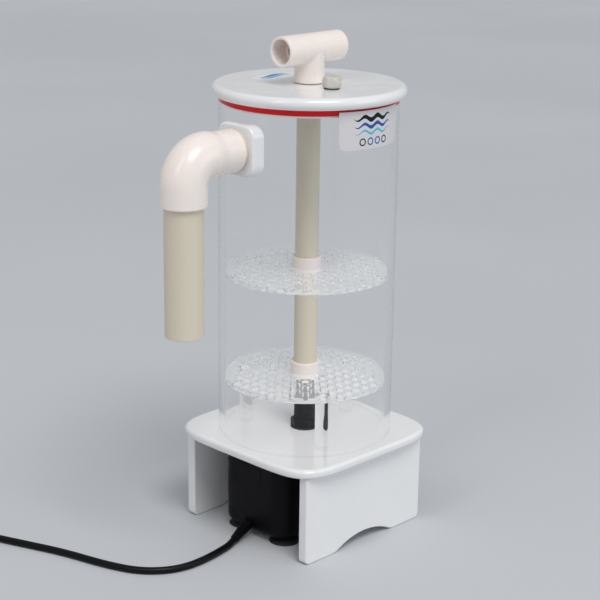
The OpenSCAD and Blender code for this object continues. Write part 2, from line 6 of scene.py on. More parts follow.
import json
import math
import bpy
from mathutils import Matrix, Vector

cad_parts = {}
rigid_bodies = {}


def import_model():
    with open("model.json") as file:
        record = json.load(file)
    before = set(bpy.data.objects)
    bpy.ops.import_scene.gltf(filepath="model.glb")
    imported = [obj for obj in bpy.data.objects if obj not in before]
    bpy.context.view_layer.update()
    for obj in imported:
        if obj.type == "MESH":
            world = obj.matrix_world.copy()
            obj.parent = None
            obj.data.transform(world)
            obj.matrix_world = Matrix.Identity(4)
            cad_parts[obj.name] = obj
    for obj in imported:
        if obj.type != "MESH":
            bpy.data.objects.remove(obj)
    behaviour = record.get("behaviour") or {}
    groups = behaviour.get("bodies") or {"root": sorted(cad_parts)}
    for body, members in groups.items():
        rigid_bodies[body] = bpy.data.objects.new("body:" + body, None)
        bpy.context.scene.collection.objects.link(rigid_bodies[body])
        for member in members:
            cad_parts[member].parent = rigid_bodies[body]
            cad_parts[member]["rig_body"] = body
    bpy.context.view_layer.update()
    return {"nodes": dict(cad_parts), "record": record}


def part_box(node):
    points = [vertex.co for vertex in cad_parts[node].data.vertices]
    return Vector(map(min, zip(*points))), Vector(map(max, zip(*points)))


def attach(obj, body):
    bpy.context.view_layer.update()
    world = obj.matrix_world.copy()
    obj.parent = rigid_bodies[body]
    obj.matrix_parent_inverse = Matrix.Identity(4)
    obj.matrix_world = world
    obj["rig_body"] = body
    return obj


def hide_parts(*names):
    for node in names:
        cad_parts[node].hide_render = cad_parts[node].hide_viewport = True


bl_info = {
    "name": "Media Reactor Looks",
    "version": (1, 0, 0),
    "blender": (4, 5, 0),
    "location": "3D View > Sidebar > Reactor",
    "description": "Finished pieces, materials and studio for a recirculating media reactor",
    "category": "Object",
}

import bmesh
import bpy
from bpy.props import FloatProperty, FloatVectorProperty, PointerProperty
from mathutils import Euler, Matrix, Vector

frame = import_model()
SLOT_OF = {part["node"]: part["material_slot"] for part in frame["record"]["subparts"]}
X, Y, Z = Vector((1, 0, 0)), Vector((0, 1, 0)), Vector((0, 0, 1))
MM = 0.001
PIPE_BORE = 8.2 * MM  # bore of the 20 mm pipes and their fittings
OUTLET_BORE = 13.8 * MM  # bore of the 32 mm drop pipe and of its stub
BLEED_HOLE = 4.05 * MM  # radius of the hole for the bleed plug's stem
SUNK = 0.15 * MM  # how far glued acrylic ends are let into the base
LEVEL = 1e-7  # points closer than this are one point


# ---- measuring and colours ----

def low(node):
    """The lowest corner of a CAD node."""
    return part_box(node)[0]


def high(node):
    """The highest corner of a CAD node."""
    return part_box(node)[1]


def middle(node):
    """The middle of a CAD node's box."""
    return (low(node) + high(node)) / 2


def radius_of(node, axis=0):
    """Half of a round CAD node's width along an axis."""
    return (high(node)[axis] - low(node)[axis]) / 2


def foot(node):
    """Where a CAD node's upright middle line meets the floor."""
    at = middle(node)
    return Vector((at.x, at.y, 0))


def tone(code):
    """A hex colour as linear red, green and blue."""
    values = [int(code[i:i + 2], 16) / 255 for i in (1, 3, 5)]
    return [v / 12.92 if v <= 0.04045 else ((v + 0.055) / 1.055) ** 2.4 for v in values]


# ---- outlines ----

def smooth(t):
    """Runs from 0 to 1 with a soft start and end."""
    t = min(max(t, 0.0), 1.0)
    return t * t * (3 - 2 * t)


def quarter(steps):
    """Even angles over a quarter turn."""
    return [math.pi / 2 * i / steps for i in range(steps + 1)]


def polar(radius, angle, z=0.0, centre=Vector()):
    """A point at a radius, an angle and a height round a centre."""
    return centre + Vector((radius * math.cos(angle), radius * math.sin(angle), z))


def ease(points, size, steps=4, closed=True):
    """A profile with each corner rounded off over a distance of size, or less where its sides are short."""
    eased = []
    count = len(points)
    for i, point in enumerate(points):
        if not closed and i in (0, count - 1):
            eased.append(point)
            continue
        corner = Vector(point)
        before, after = Vector(points[i - 1]), Vector(points[(i + 1) % count])
        reach = min(size, (corner - before).length * 0.45, (after - corner).length * 0.45)
        start = corner + (before - corner).normalized() * reach
        end = corner + (after - corner).normalized() * reach
        for step in range(steps + 1):
            t = step / steps
            eased.append(tuple(start * (1 - t) ** 2 + corner * 2 * t * (1 - t) + end * t * t))
    return eased


def arc(centre, radius, start, end, steps=10):
    """Points of an arc between two angles in degrees."""
    angles = [math.radians(start + (end - start) * i / steps) for i in range(steps + 1)]
    return [(centre[0] + radius * math.cos(a), centre[1] + radius * math.sin(a)) for a in angles]


def bowed_square(half, power, count=192):
    """A rounded square whose sides bow outwards, sampled at even angles."""
    outline = []
    for i in range(count):
        a = math.tau * i / count
        c, s = math.cos(a), math.sin(a)
        r = half / (abs(c) ** power + abs(s) ** power) ** (1 / power)
        outline.append((r * c, r * s))
    return outline


def rounded_box(half_w, half_h, corner, per_corner=10, per_side=10):
    """A rectangle with round corners, with points along its sides too."""
    outline = []
    for turn, (sx, sy) in enumerate([(1, 1), (-1, 1), (-1, -1), (1, -1)]):
        centre = (sx * (half_w - corner), sy * (half_h - corner))
        outline += arc(centre, corner, turn * 90, turn * 90 + 90, per_corner)
        nx, ny = [(-1, 1), (-1, -1), (1, -1), (1, 1)][turn]
        last = Vector(outline[-1])
        away = (turn + 1) * 90
        start = (nx * (half_w - corner) + corner * math.cos(math.radians(away)),
                 ny * (half_h - corner) + corner * math.sin(math.radians(away)))
        outline += [tuple(last.lerp(Vector(start), k / per_side)) for k in range(1, per_side)]
    return outline


def hexagon(corner_r, limit, z, turned=0.0, centre=Vector(), count=120):
    """A hexagon whose corners lie on corner_r, cut round at limit as a chamfer cuts a nut."""
    loop = []
    for k in range(count):
        a = math.tau * k / count
        off_flat = (a - turned) % (math.pi / 3) - math.pi / 6
        r = min(limit, corner_r * math.cos(math.pi / 6) / math.cos(off_flat))
        loop.append(polar(r, a, z, centre))
    return loop


def circle(radius, z, centre=Vector(), count=120):
    """A level circle whose first point faces +X."""
    return hexagon(radius * 2, radius, z, 0.0, centre, count)


def hoop(centre, direction, radius, count=96):
    """A circle of points round a direction."""
    direction = direction.normalized()
    side = (X if abs(direction.y) > 0.7 else Y).cross(direction).normalized()
    up = direction.cross(side)
    turns = [math.tau * k / count for k in range(count)]
    return [centre + radius * (math.cos(a) * side + math.sin(a) * up) for a in turns]


# ---- meshes ----

def linked(name, data):
    """A new object in the scene."""
    made = bpy.data.objects.new(name, data)
    bpy.context.scene.collection.objects.link(made)
    return made


def new_piece(name, mesh):
    """Links a mesh as an object with its loose ends merged and its faces outwards."""
    work = bmesh.new()
    work.from_mesh(mesh)
    bmesh.ops.remove_doubles(work, verts=work.verts, dist=LEVEL)
    bmesh.ops.recalc_face_normals(work, faces=work.faces)
    work.to_mesh(mesh)
    work.free()
    return linked(name, mesh)


def loft(name, loops, ring=False):
    """A skin through loops of points with flat ends, or joined end to start as a ring."""
    count = len(loops[0])
    faces = []
    for i in range(len(loops) if ring else len(loops) - 1):
        j = (i + 1) % len(loops)
        for k in range(count):
            m = (k + 1) % count
            faces.append((i * count + k, i * count + m, j * count + m, j * count + k))
    if not ring:
        last = (len(loops) - 1) * count
        faces += [tuple(range(count)), tuple(range(last, last + count))]
    mesh = bpy.data.meshes.new(name)
    mesh.from_pydata([point for loop in loops for point in loop], [], faces)
    return new_piece(name, mesh)


def lathe(name, profile, centre=Vector(), axis=Z, ring=True, count=128):
    """Turns a profile of (radius, distance along the axis) about an axis through centre."""
    loops = [hoop(centre + axis * h, axis, r, count) for r, h in profile]
    return loft(name, loops, ring)


def prism(name, outline, place, start, end):
    """An outline of (a, b) pairs extruded from start to end, where place(a, b, c) gives the point."""
    return loft(name, [[place(a, b, c) for a, b in outline] for c in (start, end)])


def baked(piece):
    """The piece with its modifiers made part of a plain mesh."""
    graph = bpy.context.evaluated_depsgraph_get()
    graph.update()
    mesh = bpy.data.meshes.new_from_object(piece.evaluated_get(graph))
    old = piece.data
    piece.modifiers.clear()
    piece.data = mesh
    mesh.name = piece.name
    bpy.data.meshes.remove(old)
    return piece


def eased_edges(piece, width, steps=3, angle=40):
    """Rounds a piece's sharp edges."""
    bevel = piece.modifiers.new("Eased edges", "BEVEL")
    bevel.width = width
    bevel.segments = steps
    bevel.limit_method = "ANGLE"
    bevel.angle_limit = math.radians(angle)
    bevel.harden_normals = False
    return baked(piece)


def cut(piece, *cutters):
    """Cuts other pieces out of a piece."""
    for cutter in cutters:
        boolean = piece.modifiers.new("Cut", "BOOLEAN")
        boolean.operation = "DIFFERENCE"
        boolean.solver = "EXACT"
        boolean.object = cutter
        baked(piece)
        bpy.data.objects.remove(cutter)
    return piece


def joined(name, *pieces):
    """Several shells as one piece."""
    work = bmesh.new()
    for piece in pieces:
        work.from_mesh(piece.data)
        bpy.data.objects.remove(piece)
    mesh = bpy.data.meshes.new(name)
    work.to_mesh(mesh)
    work.free()
    return linked(name, mesh)


def slice_between(piece, start, end):
    """Keeps a piece's stretch between two planes across X, and closes the cut ends."""
    work = bmesh.new()
    work.from_mesh(piece.data)
    for place, outward in ((start, -X), (end, X)):
        bmesh.ops.bisect_plane(work, geom=work.verts[:] + work.edges[:] + work.faces[:], dist=LEVEL,
                               plane_co=X * place, plane_no=outward, clear_outer=True)
        rim = [edge for edge in work.edges if edge.is_boundary]
        if rim:
            bmesh.ops.holes_fill(work, edges=rim)
    bmesh.ops.recalc_face_normals(work, faces=work.faces)
    work.to_mesh(piece.data)
    work.free()
    return piece


def finish(piece, *nodes, angle=38):
    """Shades a piece, gives it its material, and lets it stand for its CAD nodes and move with them."""
    piece.data.shade_smooth()
    piece.data.set_sharp_from_angle(angle=math.radians(angle))
    even = piece.modifiers.new("Even normals", "WEIGHTED_NORMAL")
    even.keep_sharp = True
    even.weight = 60
    baked(piece)
    return dress(piece, *nodes)


def dress(piece, *nodes):
    """Gives a shaded piece its material, body and CAD nodes.

    Clear acrylic casts no shadow and isn't met by diffuse rays, so what it holds is neither dark nor lit twice.
    """
    slot = SLOT_OF[nodes[0]]
    drilled = nodes[0] in ("lower_plate", "upper_plate")
    piece.visible_shadow = piece.visible_diffuse = slot != "clear_acrylic"
    piece.data.materials.clear()
    piece.data.materials.append(material_of("drilled_acrylic" if drilled else slot))
    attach(piece, frame["nodes"][nodes[0]]["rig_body"])
    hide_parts(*nodes)
    return piece


# ---- geometry node trees ----

def geometry_tree(name, sockets):
    """A geometry node tree with a mesh output, the named inputs and the material to set at its end."""
    tree = bpy.data.node_groups.new(name, "GeometryNodeTree")
    tree.interface.new_socket("Geometry", in_out="OUTPUT", socket_type="NodeSocketGeometry")
    for label, kind in sockets:
        tree.interface.new_socket(label, in_out="INPUT", socket_type=kind)
    return tree, tree.nodes.new("NodeGroupInput")


def node(tree, kind, inputs=None, **settings):
    """Adds a node; its inputs are values, or sockets to link from."""
    made = tree.nodes.new(kind)
    for key, value in settings.items():
        setattr(made, key, value)
    for key, value in (inputs or {}).items():
        if isinstance(value, bpy.types.NodeSocket):
            tree.links.new(value, made.inputs[key])
        else:
            made.inputs[key].default_value = value
    return made


def calc(tree, operation, a, b=0.0):
    """The result of a Math node."""
    return node(tree, "ShaderNodeMath", {0: a, 1: b}, operation=operation).outputs[0]


def slab(tree, flat, thickness):
    """A flat mesh made into a closed slab that is thickness high."""
    raised = node(tree, "GeometryNodeExtrudeMesh", {"Mesh": flat, "Offset Scale": thickness, "Individual": False})
    under = node(tree, "GeometryNodeFlipFaces", {"Mesh": flat})
    both = tree.nodes.new("GeometryNodeJoinGeometry")
    tree.links.new(under.outputs[0], both.inputs[0])
    tree.links.new(raised.outputs[0], both.inputs[0])
    merged = node(tree, "GeometryNodeMergeByDistance", {"Geometry": both.outputs[0], "Distance": 1e-6})
    return merged.outputs[0]


def end_tree(tree, geometry, material):
    """Realizes a tree's instances, sets their material and sends them out."""
    real = node(tree, "GeometryNodeRealizeInstances", {"Geometry": geometry})
    final = node(tree, "GeometryNodeSetMaterial", {"Geometry": real.outputs[0], "Material": material})
    out = tree.nodes.new("NodeGroupOutput")
    tree.links.new(final.outputs[0], out.inputs[0])


def grow(name, tree, values):
    """A plain mesh object made by a tree from its named inputs."""
    piece = linked(name, bpy.data.meshes.new(name))
    modifier = piece.modifiers.new("Grow", "NODES")
    modifier.node_group = tree
    for socket in tree.interface.items_tree:
        if socket.item_type == "SOCKET" and socket.in_out == "INPUT":
            modifier[socket.identifier] = values[socket.name]
    return baked(piece)


def perforated_tree(material):
    """A round plate with a hole for a pipe and a square grid of small holes."""
    tree, given = geometry_tree("Perforated plate", [
        ("Radius", "NodeSocketFloat"), ("Pipe hole radius", "NodeSocketFloat"),
        ("Thickness", "NodeSocketFloat"), ("Height", "NodeSocketFloat"),
        ("Holes across", "NodeSocketInt"), ("Grid size", "NodeSocketFloat"),
        ("Hole radius", "NodeSocketFloat"), ("Outer limit", "NodeSocketFloat"),
        ("Inner limit", "NodeSocketFloat"),
    ])
    size, across = given.outputs["Grid size"], given.outputs["Holes across"]
    grid = node(tree, "GeometryNodeMeshGrid",
                {"Size X": size, "Size Y": size, "Vertices X": across, "Vertices Y": across})
    place = node(tree, "GeometryNodeInputPosition")
    far = node(tree, "ShaderNodeVectorMath", {0: place.outputs[0]}, operation="LENGTH").outputs["Value"]
    inside = calc(tree, "LESS_THAN", far, given.outputs["Outer limit"])
    outside = calc(tree, "GREATER_THAN", far, given.outputs["Inner limit"])
    chosen = calc(tree, "MULTIPLY", inside, outside)
    hole = node(tree, "GeometryNodeCurvePrimitiveCircle", {"Resolution": 20, "Radius": given.outputs["Hole radius"]})
    holes = node(tree, "GeometryNodeInstanceOnPoints",
                 {"Points": grid.outputs[0], "Selection": chosen, "Instance": hole.outputs[0]})
    rim = node(tree, "GeometryNodeCurvePrimitiveCircle", {"Resolution": 192, "Radius": given.outputs["Radius"]})
    core = node(tree, "GeometryNodeCurvePrimitiveCircle",
                {"Resolution": 64, "Radius": given.outputs["Pipe hole radius"]})
    both = tree.nodes.new("GeometryNodeJoinGeometry")
    for made in (holes, rim, core):
        tree.links.new(made.outputs[0], both.inputs[0])
    real = node(tree, "GeometryNodeRealizeInstances", {"Geometry": both.outputs[0]})
    flat = node(tree, "GeometryNodeFillCurve", {"Curve": real.outputs[0]})
    solid = slab(tree, flat.outputs[0], given.outputs["Thickness"])
    lift = node(tree, "ShaderNodeCombineXYZ", {"Z": given.outputs["Height"]})
    placed = node(tree, "GeometryNodeTransform", {"Geometry": solid, "Translation": lift.outputs[0]})
    end_tree(tree, placed.outputs[0], material)
    return tree


def slotted_tree(material):
    """A shell with two rows of upright slots cut through it: one row along X and one along Y."""
    tree, given = geometry_tree("Slotted strainer", [
        ("Shell", "NodeSocketObject"), ("Slot width", "NodeSocketFloat"), ("Slot height", "NodeSocketFloat"),
        ("Pitch", "NodeSocketFloat"), ("Side slots", "NodeSocketInt"), ("End slots", "NodeSocketInt"),
        ("First side slot", "NodeSocketVector"), ("First end slot", "NodeSocketVector"),
        ("Side reach", "NodeSocketFloat"), ("End reach", "NodeSocketFloat"),
    ])
    shell = node(tree, "GeometryNodeObjectInfo", {"Object": given.outputs["Shell"]})
    outline = node(tree, "GeometryNodeCurvePrimitiveQuadrilateral",
                   {"Width": given.outputs["Slot width"], "Height": given.outputs["Slot height"]})
    corner = calc(tree, "MULTIPLY", given.outputs["Slot width"], 0.49)
    soft = node(tree, "GeometryNodeFilletCurve", {"Curve": outline.outputs[0], "Count": 5, "Radius": corner},
                mode="POLY")
    flat = node(tree, "GeometryNodeFillCurve", {"Curve": soft.outputs[0]})
    rows = []
    for reach, first, count, step, turn in (
        ("Side reach", "First side slot", "Side slots", X, (math.pi / 2, 0, 0)),
        ("End reach", "First end slot", "End slots", Y, (math.pi / 2, 0, math.pi / 2)),
    ):
        cutter = slab(tree, flat.outputs[0], given.outputs[reach])
        upright = node(tree, "GeometryNodeTransform", {"Geometry": cutter, "Rotation": turn})
        offset = node(tree, "ShaderNodeVectorMath", {0: tuple(step), "Scale": given.outputs["Pitch"]},
                      operation="SCALE")
        line = node(tree, "GeometryNodeMeshLine", {
            "Count": given.outputs[count], "Start Location": given.outputs[first], "Offset": offset.outputs[0]})
        row = node(tree, "GeometryNodeInstanceOnPoints", {"Points": line.outputs[0], "Instance": upright.outputs[0]})
        rows.append(node(tree, "GeometryNodeRealizeInstances", {"Geometry": row.outputs[0]}))
    left = shell.outputs["Geometry"]
    for row in rows:
        boolean = node(tree, "GeometryNodeMeshBoolean", {"Mesh 1": left}, operation="DIFFERENCE", solver="EXACT")
        tree.links.new(row.outputs[0], boolean.inputs["Mesh 2"])
        left = boolean.outputs[0]
    end_tree(tree, left, material)
    return tree


# ---- materials ----

def shader_for(name, colour, **plain):
    """A new material whose plain values sit on the shader's own sockets."""
    material = bpy.data.materials.new(name)
    material.use_nodes = True
    tree = material.node_tree
    shader = tree.nodes["Principled BSDF"]
    shader.inputs["Base Color"].default_value = (*colour[:3], 1)
    for label, value in plain.items():
        shader.inputs[label.replace("_", " ")].default_value = value
    return material, tree, shader


def object_place(tree, scale=(1, 1, 1)):
    """Object coordinates, stretched."""
    coordinates = node(tree, "ShaderNodeTexCoord")
    return node(tree, "ShaderNodeMapping", {"Vector": coordinates.outputs["Object"], "Scale": scale}).outputs[0]


def cloud(tree, lump, detail=4.0, stretch=(1, 1, 1)):
    """Noise from 0 to 1 whose lumps are so many millimetres across."""
    return node(tree, "ShaderNodeTexNoise", {
        "Vector": object_place(tree, stretch), "Scale": 1 / (lump * MM), "Detail": detail}).outputs["Fac"]


def between(tree, factor, start, end):
    """Turns a middling noise into a value that runs from start to end."""
    return node(tree, "ShaderNodeMapRange", {
        "Value": factor, "From Min": 0.3, "From Max": 0.7, "To Min": start, "To Max": end}).outputs[0]


def tint(tree, shader, factor, first, second):
    """Mixes two colours into the base colour."""
    mix = node(tree, "ShaderNodeMix", {"Factor": factor, "A": (*first[:3], 1), "B": (*second[:3], 1)},
               data_type="RGBA")
    tree.links.new(mix.outputs["Result"], shader.inputs["Base Color"])


def tooth(tree, shader, height, depth, strength=1.0):
    """A fine surface relief from a height pattern; depth is in metres."""
    bump = node(tree, "ShaderNodeBump", {"Height": height, "Distance": depth, "Strength": strength})
    tree.links.new(bump.outputs[0], shader.inputs["Normal"])


def shade(colour, amount):
    """A colour made lighter or darker."""
    return [min(1.0, c * amount) for c in colour[:3]]


def plastic(name, colour, rough, spread, drift, grain, depth, stretch=(1, 1, 1), **plain):
    """A moulded or extruded plastic: slight colour drift, uneven gloss and a surface grain of so many millimetres.

    Its colour drifts over 36 mm, as the melt cools unevenly, and its gloss over 13 mm, about a fingertip's width.
    """
    material, tree, shader = shader_for(name, colour, **plain)
    slow = cloud(tree, 36, 3, stretch)
    tint(tree, shader, between(tree, slow, 0, 1), shade(colour, 1 - drift), shade(colour, 1 + drift))
    handled = cloud(tree, 13.3, 6, stretch)
    tree.links.new(between(tree, handled, rough - spread, rough + spread), shader.inputs["Roughness"])
    tooth(tree, shader, cloud(tree, grain, 3, stretch), depth)
    return material


def white_pvc():
    """Routed white PVC sheet: an even, bright white whose 2 mm ripple softens its reflections."""
    looks = bpy.context.scene.reactor_base
    return plastic("Satin white PVC sheet", looks.colour, 0.2, 0.06, 0.012, 2, 2.5e-6,
                   Coat_Weight=0.3, Coat_Roughness=0.12, Subsurface_Weight=0.06, Subsurface_Scale=0.002)


def clear_acrylic():
    """Extruded acrylic tube: glass clear, with faint waves 17 mm apart that run along it, as drawing leaves them.

    Its index is below the real 1.49, so that reflections don't veil what stands inside.
    """
    looks = bpy.context.scene.reactor_column
    material, tree, shader = shader_for("Polished clear acrylic", looks.colour, Transmission_Weight=1.0, IOR=1.3,
                                        Roughness=0.0, Specular_IOR_Level=0.1)
    tooth(tree, shader, cloud(tree, 16.7, 2, (1, 1, 0.08)), 1.5e-5, 0.6)
    return material


def drilled_acrylic():
    """Clear acrylic sheet, drilled: its cut walls scatter light, so it reads paler than the tube.

    The drill's chatter is finer than 1 mm and is drawn as a 2.5 mm ripple so that it shows.
    """
    looks = bpy.context.scene.reactor_column
    material, tree, shader = shader_for("Drilled clear acrylic sheet", looks.colour, Transmission_Weight=0.8,
                                        IOR=1.13, Roughness=0.1, Specular_IOR_Level=0.5)
    tooth(tree, shader, cloud(tree, 2.5, 2), 3e-6)
    return material


def pipe_pvc():
    """Extruded PVC pipe: a warm beige with draw lines 1.5 mm apart along it, which blur its gloss."""
    looks = bpy.context.scene.reactor_outlet
    return plastic("Extruded PVC pipe", looks.pipe_colour, 0.36, 0.06, 0.03, 1.54, 6e-6, (1, 1, 0.06),
                   Subsurface_Weight=0.05, Subsurface_Scale=0.002)


def fitting_pvc():
    """Injection moulded PVC fitting: glossier and whiter than pipe, with a shallow 4 mm sink ripple."""
    looks = bpy.context.scene.reactor_outlet
    return plastic("Moulded PVC fitting", looks.fitting_colour, 0.27, 0.05, 0.02, 3.85, 6e-6,
                   Coat_Weight=0.15, Coat_Roughness=0.2, Subsurface_Weight=0.08, Subsurface_Scale=0.003)


def red_silicone():
    """Moulded silicone: a saturated red with a soft, almost matt skin of 0.9 mm grain."""
    looks = bpy.context.scene.reactor_lid
    return plastic("Red silicone", looks.ring_colour, 0.45, 0.08, 0.06, 0.91, 5e-6, Specular_IOR_Level=0.15)


def natural_nylon():
    """Moulded, uncoloured nylon: milky, and lets some light through; its 1.4 mm ripple bends that light."""
    looks = bpy.context.scene.reactor_lid
    return plastic("Natural nylon", looks.plug_colour, 0.24, 0.05, 0.03, 1.43, 4e-6, Transmission_Weight=0.45,
                   IOR=1.53, Subsurface_Weight=0.5, Subsurface_Scale=0.004)


def black_rubber():
    """Moulded nitrile rubber: matt black with a dusty bloom over a 0.8 mm grain."""
    return plastic("Black nitrile rubber", tone("#232327"), 0.62, 0.1, 0.16, 0.83, 8e-6, Specular_IOR_Level=0.35)


def pump_abs():
    """Moulded ABS with a spark-eroded texture: deep black that barely shines.

    The erosion pits are about 0.1 mm across and are drawn at 0.4 mm so that they show.
    """
    looks = bpy.context.scene.reactor_pump
    return plastic("Textured black ABS", looks.colour, 0.5, 0.07, 0.12, 0.385, 1.4e-5, Specular_IOR_Level=0.14)


def cord_pvc():
    """Extruded, plasticised PVC sheath: soft black with a broad dull shine over a 0.7 mm grain."""
    looks = bpy.context.scene.reactor_lead
    return plastic("Soft black PVC sheath", looks.colour, 0.4, 0.08, 0.14, 0.67, 5e-6, Specular_IOR_Level=0.2)


def metal(name, colour, rough, stretch, lines, depth):
    """A metal with tool lines so many millimetres apart; its gloss drifts over 17 mm."""
    material, tree, shader = shader_for(name, colour, Metallic=1.0)
    tree.links.new(between(tree, cloud(tree, 16.7), rough - 0.06, rough + 0.08), shader.inputs["Roughness"])
    tint(tree, shader, between(tree, cloud(tree, lines, 2, stretch), 0, 1), shade(colour, 0.9), shade(colour, 1.08))
    tooth(tree, shader, cloud(tree, lines, 2, stretch), depth)
    return material


def banded(name, colour, pitch, direction, depth, **plain):
    """Even bands so many millimetres apart, as of laminations or winding."""
    material, tree, shader = shader_for(name, colour, **plain)
    waves_per_unit = 20 / math.tau  # of a wave texture at scale 1
    bands = node(tree, "ShaderNodeTexWave", {
        "Vector": object_place(tree), "Scale": 1 / (pitch * MM * waves_per_unit), "Distortion": 0.4, "Detail": 1.0},
        bands_direction=direction).outputs["Fac"]
    tint(tree, shader, bands, shade(colour, 0.6), shade(colour, 1.15))
    tree.links.new(between(tree, cloud(tree, 11), 0.3, 0.5), shader.inputs["Roughness"])
    tooth(tree, shader, bands, depth)
    return material


def electrical_steel():
    """Stacked steel laminations: grey bands; the real 0.5 mm sheets are drawn 1 mm thick so that they show."""
    return banded("Laminated electrical steel", tone("#7B7D80"), 0.98, "X", 8e-5, Metallic=0.9)


def enamelled_copper():
    """Enamelled wire, close wound: glossy orange-brown bands; 0.4 mm wire is drawn at 0.75 mm so that it shows."""
    return banded("Enamelled copper winding", tone("#B5622C"), 0.75, "Y", 1.5e-4, Metallic=0.7, Coat_Weight=0.5)


def stainless_steel():
    """Turned stainless steel: bright grey with tool lines drawn 1.1 mm apart, coarser than the real ones."""
    return metal("Turned stainless steel", tone("#C3C5C7"), 0.3, (0.1, 1, 1), 1.1, 3e-6)


def nickel_brass():
    """Nickel plated brass: a warm, sharp shine with faint 0.7 mm drawing lines."""
    return metal("Nickel plated brass", tone("#D2CFC6"), 0.18, (1, 0.1, 1), 0.714, 1e-6)


def ferrite():
    """Pressed and sintered ferrite: charcoal with a 0.55 mm speckle, coarser than its real grain so that it shows."""
    return plastic("Sintered ferrite", tone("#46484C"), 0.5, 0.12, 0.35, 0.55, 8e-6, Specular_IOR_Level=0.6)


def impeller_plastic():
    """Moulded glass filled nylon: pale grey, with fibres drawn 0.8 mm wide near the surface."""
    return plastic("Glass filled nylon", tone("#DCDDDF"), 0.42, 0.1, 0.06, 0.77, 9e-6, (1, 0.3, 1))


def ceramic_shaft():
    """Ground alumina: cream and glossy, with grinding lines drawn 0.6 mm apart."""
    return plastic("Ground alumina", tone("#EFE9DD"), 0.16, 0.05, 0.02, 0.62, 2e-6, (0.2, 1, 1), Coat_Weight=0.4)


def stroke(tree, x, y, shape):
    """How much of a tapered wavy stroke covers a point; lengths are in the print's millimetres."""
    swing = calc(tree, "SINE", calc(tree, "ADD", calc(tree, "MULTIPLY", x, math.tau / shape["wave"]), shape["phase"]))
    line = calc(tree, "ADD", calc(tree, "MULTIPLY", swing, shape["swing"]), shape["height"])
    line = calc(tree, "ADD", line, calc(tree, "MULTIPLY", x, shape["slope"]))
    off = calc(tree, "ABSOLUTE", calc(tree, "SUBTRACT", y, line))
    along = calc(tree, "DIVIDE", calc(tree, "SUBTRACT", x, shape["middle"]), shape["reach"])
    body = calc(tree, "MULTIPLY", calc(tree, "SUBTRACT", 1.0, calc(tree, "MULTIPLY", along, along)), shape["thick"])
    return node(tree, "ShaderNodeMapRange", {
        "Value": calc(tree, "SUBTRACT", body, off), "From Min": 0.0, "From Max": 0.25}).outputs[0]


def bubble(tree, x, y, centre, radius):
    """How much of a thin ring covers a point."""
    dx, dy = calc(tree, "SUBTRACT", x, centre[0]), calc(tree, "SUBTRACT", y, centre[1])
    far = calc(tree, "SQRT", calc(tree, "ADD", calc(tree, "MULTIPLY", dx, dx), calc(tree, "MULTIPLY", dy, dy)))
    edge = calc(tree, "ABSOLUTE", calc(tree, "SUBTRACT", far, radius))
    return node(tree, "ShaderNodeMapRange", {
        "Value": edge, "From Min": 0.35, "From Max": 0.6, "To Min": 1.0, "To Max": 0.0}).outputs[0]


def printed_film(name, paper, marks, larger=1.0):
    """Printed vinyl film: each mark is a colour and a function that says where it lies.

    The film's white clouds over 25 mm, its gloss over 11 mm, and its glue gives it a 2 mm orange peel.
    """
    material, tree, shader = shader_for(name, paper, Specular_IOR_Level=0.2)
    place = node(tree, "ShaderNodeUVMap", uv_map="Print")
    parts = node(tree, "ShaderNodeSeparateXYZ", {"Vector": place.outputs[0]})
    x, y = (calc(tree, "MULTIPLY", parts.outputs[i], 1 / (MM * larger)) for i in (0, 1))
    ground = node(tree, "ShaderNodeMix", {
        "Factor": between(tree, cloud(tree, 25), 0, 1), "A": (*shade(paper, 0.97), 1), "B": (*shade(paper, 1.02), 1)},
        data_type="RGBA")
    colour = ground.outputs["Result"]
    for ink, mark in marks:
        layer = node(tree, "ShaderNodeMix", {"Factor": mark(tree, x, y), "A": colour, "B": (*ink, 1)},
                     data_type="RGBA")
        colour = layer.outputs["Result"]
    tree.links.new(colour, shader.inputs["Base Color"])
    tree.links.new(between(tree, cloud(tree, 11.1, 5), 0.26, 0.38), shader.inputs["Roughness"])
    tooth(tree, shader, cloud(tree, 2, 2), 2e-6)
    return material


def wave_mark(**shape):
    """A wavy stroke as a mark."""
    return lambda tree, x, y: stroke(tree, x, y, shape)


def bubble_mark(centre, radius):
    """A ring as a mark."""
    return lambda tree, x, y: bubble(tree, x, y, centre, radius)


def label_film():
    """The column's label: three plain wave lines over a row of rings."""
    navy, blue, aqua = tone("#0C1024"), tone("#2A55A5"), tone("#5DBCD2")
    line = {"wave": 12, "phase": 0.0, "swing": 1.3, "slope": 0.0, "middle": 0, "reach": 19}
    marks = [(ink, wave_mark(height=height, thick=thick, **line))
             for ink, height, thick in ((navy, 8.2, 1.9), (blue, 3.0, 1.5), (aqua, -1.6, 1.1))]
    marks += [(ink, bubble_mark((x, -8.4), 2.3))
              for ink, x in ((navy, -10.5), (blue, -3.5), (blue, 3.5), (navy, 10.5))]
    return printed_film("Printed label film", tone("#DAD6D8"), marks, larger=1.14)


def sticker_film():
    """The lid's sticker: two plain strokes on white."""
    line = {"wave": 40, "phase": 0.4, "swing": 1.8, "slope": 0.03}
    return printed_film("Printed sticker film", shade(bpy.context.scene.reactor_base.colour, 0.98), [
        (tone("#0F74B4"), wave_mark(height=2.6, middle=1, reach=20, thick=2.6, **line)),
        (tone("#3FA6D2"), wave_mark(height=-2.6, middle=-1, reach=21, thick=2.1, **line)),
    ])


MAKERS = {
    maker.__name__: maker for maker in (
        white_pvc, clear_acrylic, drilled_acrylic, label_film, sticker_film, pipe_pvc, fitting_pvc, red_silicone,
        black_rubber, natural_nylon, pump_abs, electrical_steel, enamelled_copper, stainless_steel, nickel_brass,
        impeller_plastic, ferrite, ceramic_shaft, cord_pvc)
}
MADE = {}


def material_of(slot):
    """The material of a slot, made once."""
    if slot not in MADE:
        MADE[slot] = MAKERS[slot]()
    return MADE[slot]


# ---- settings ----

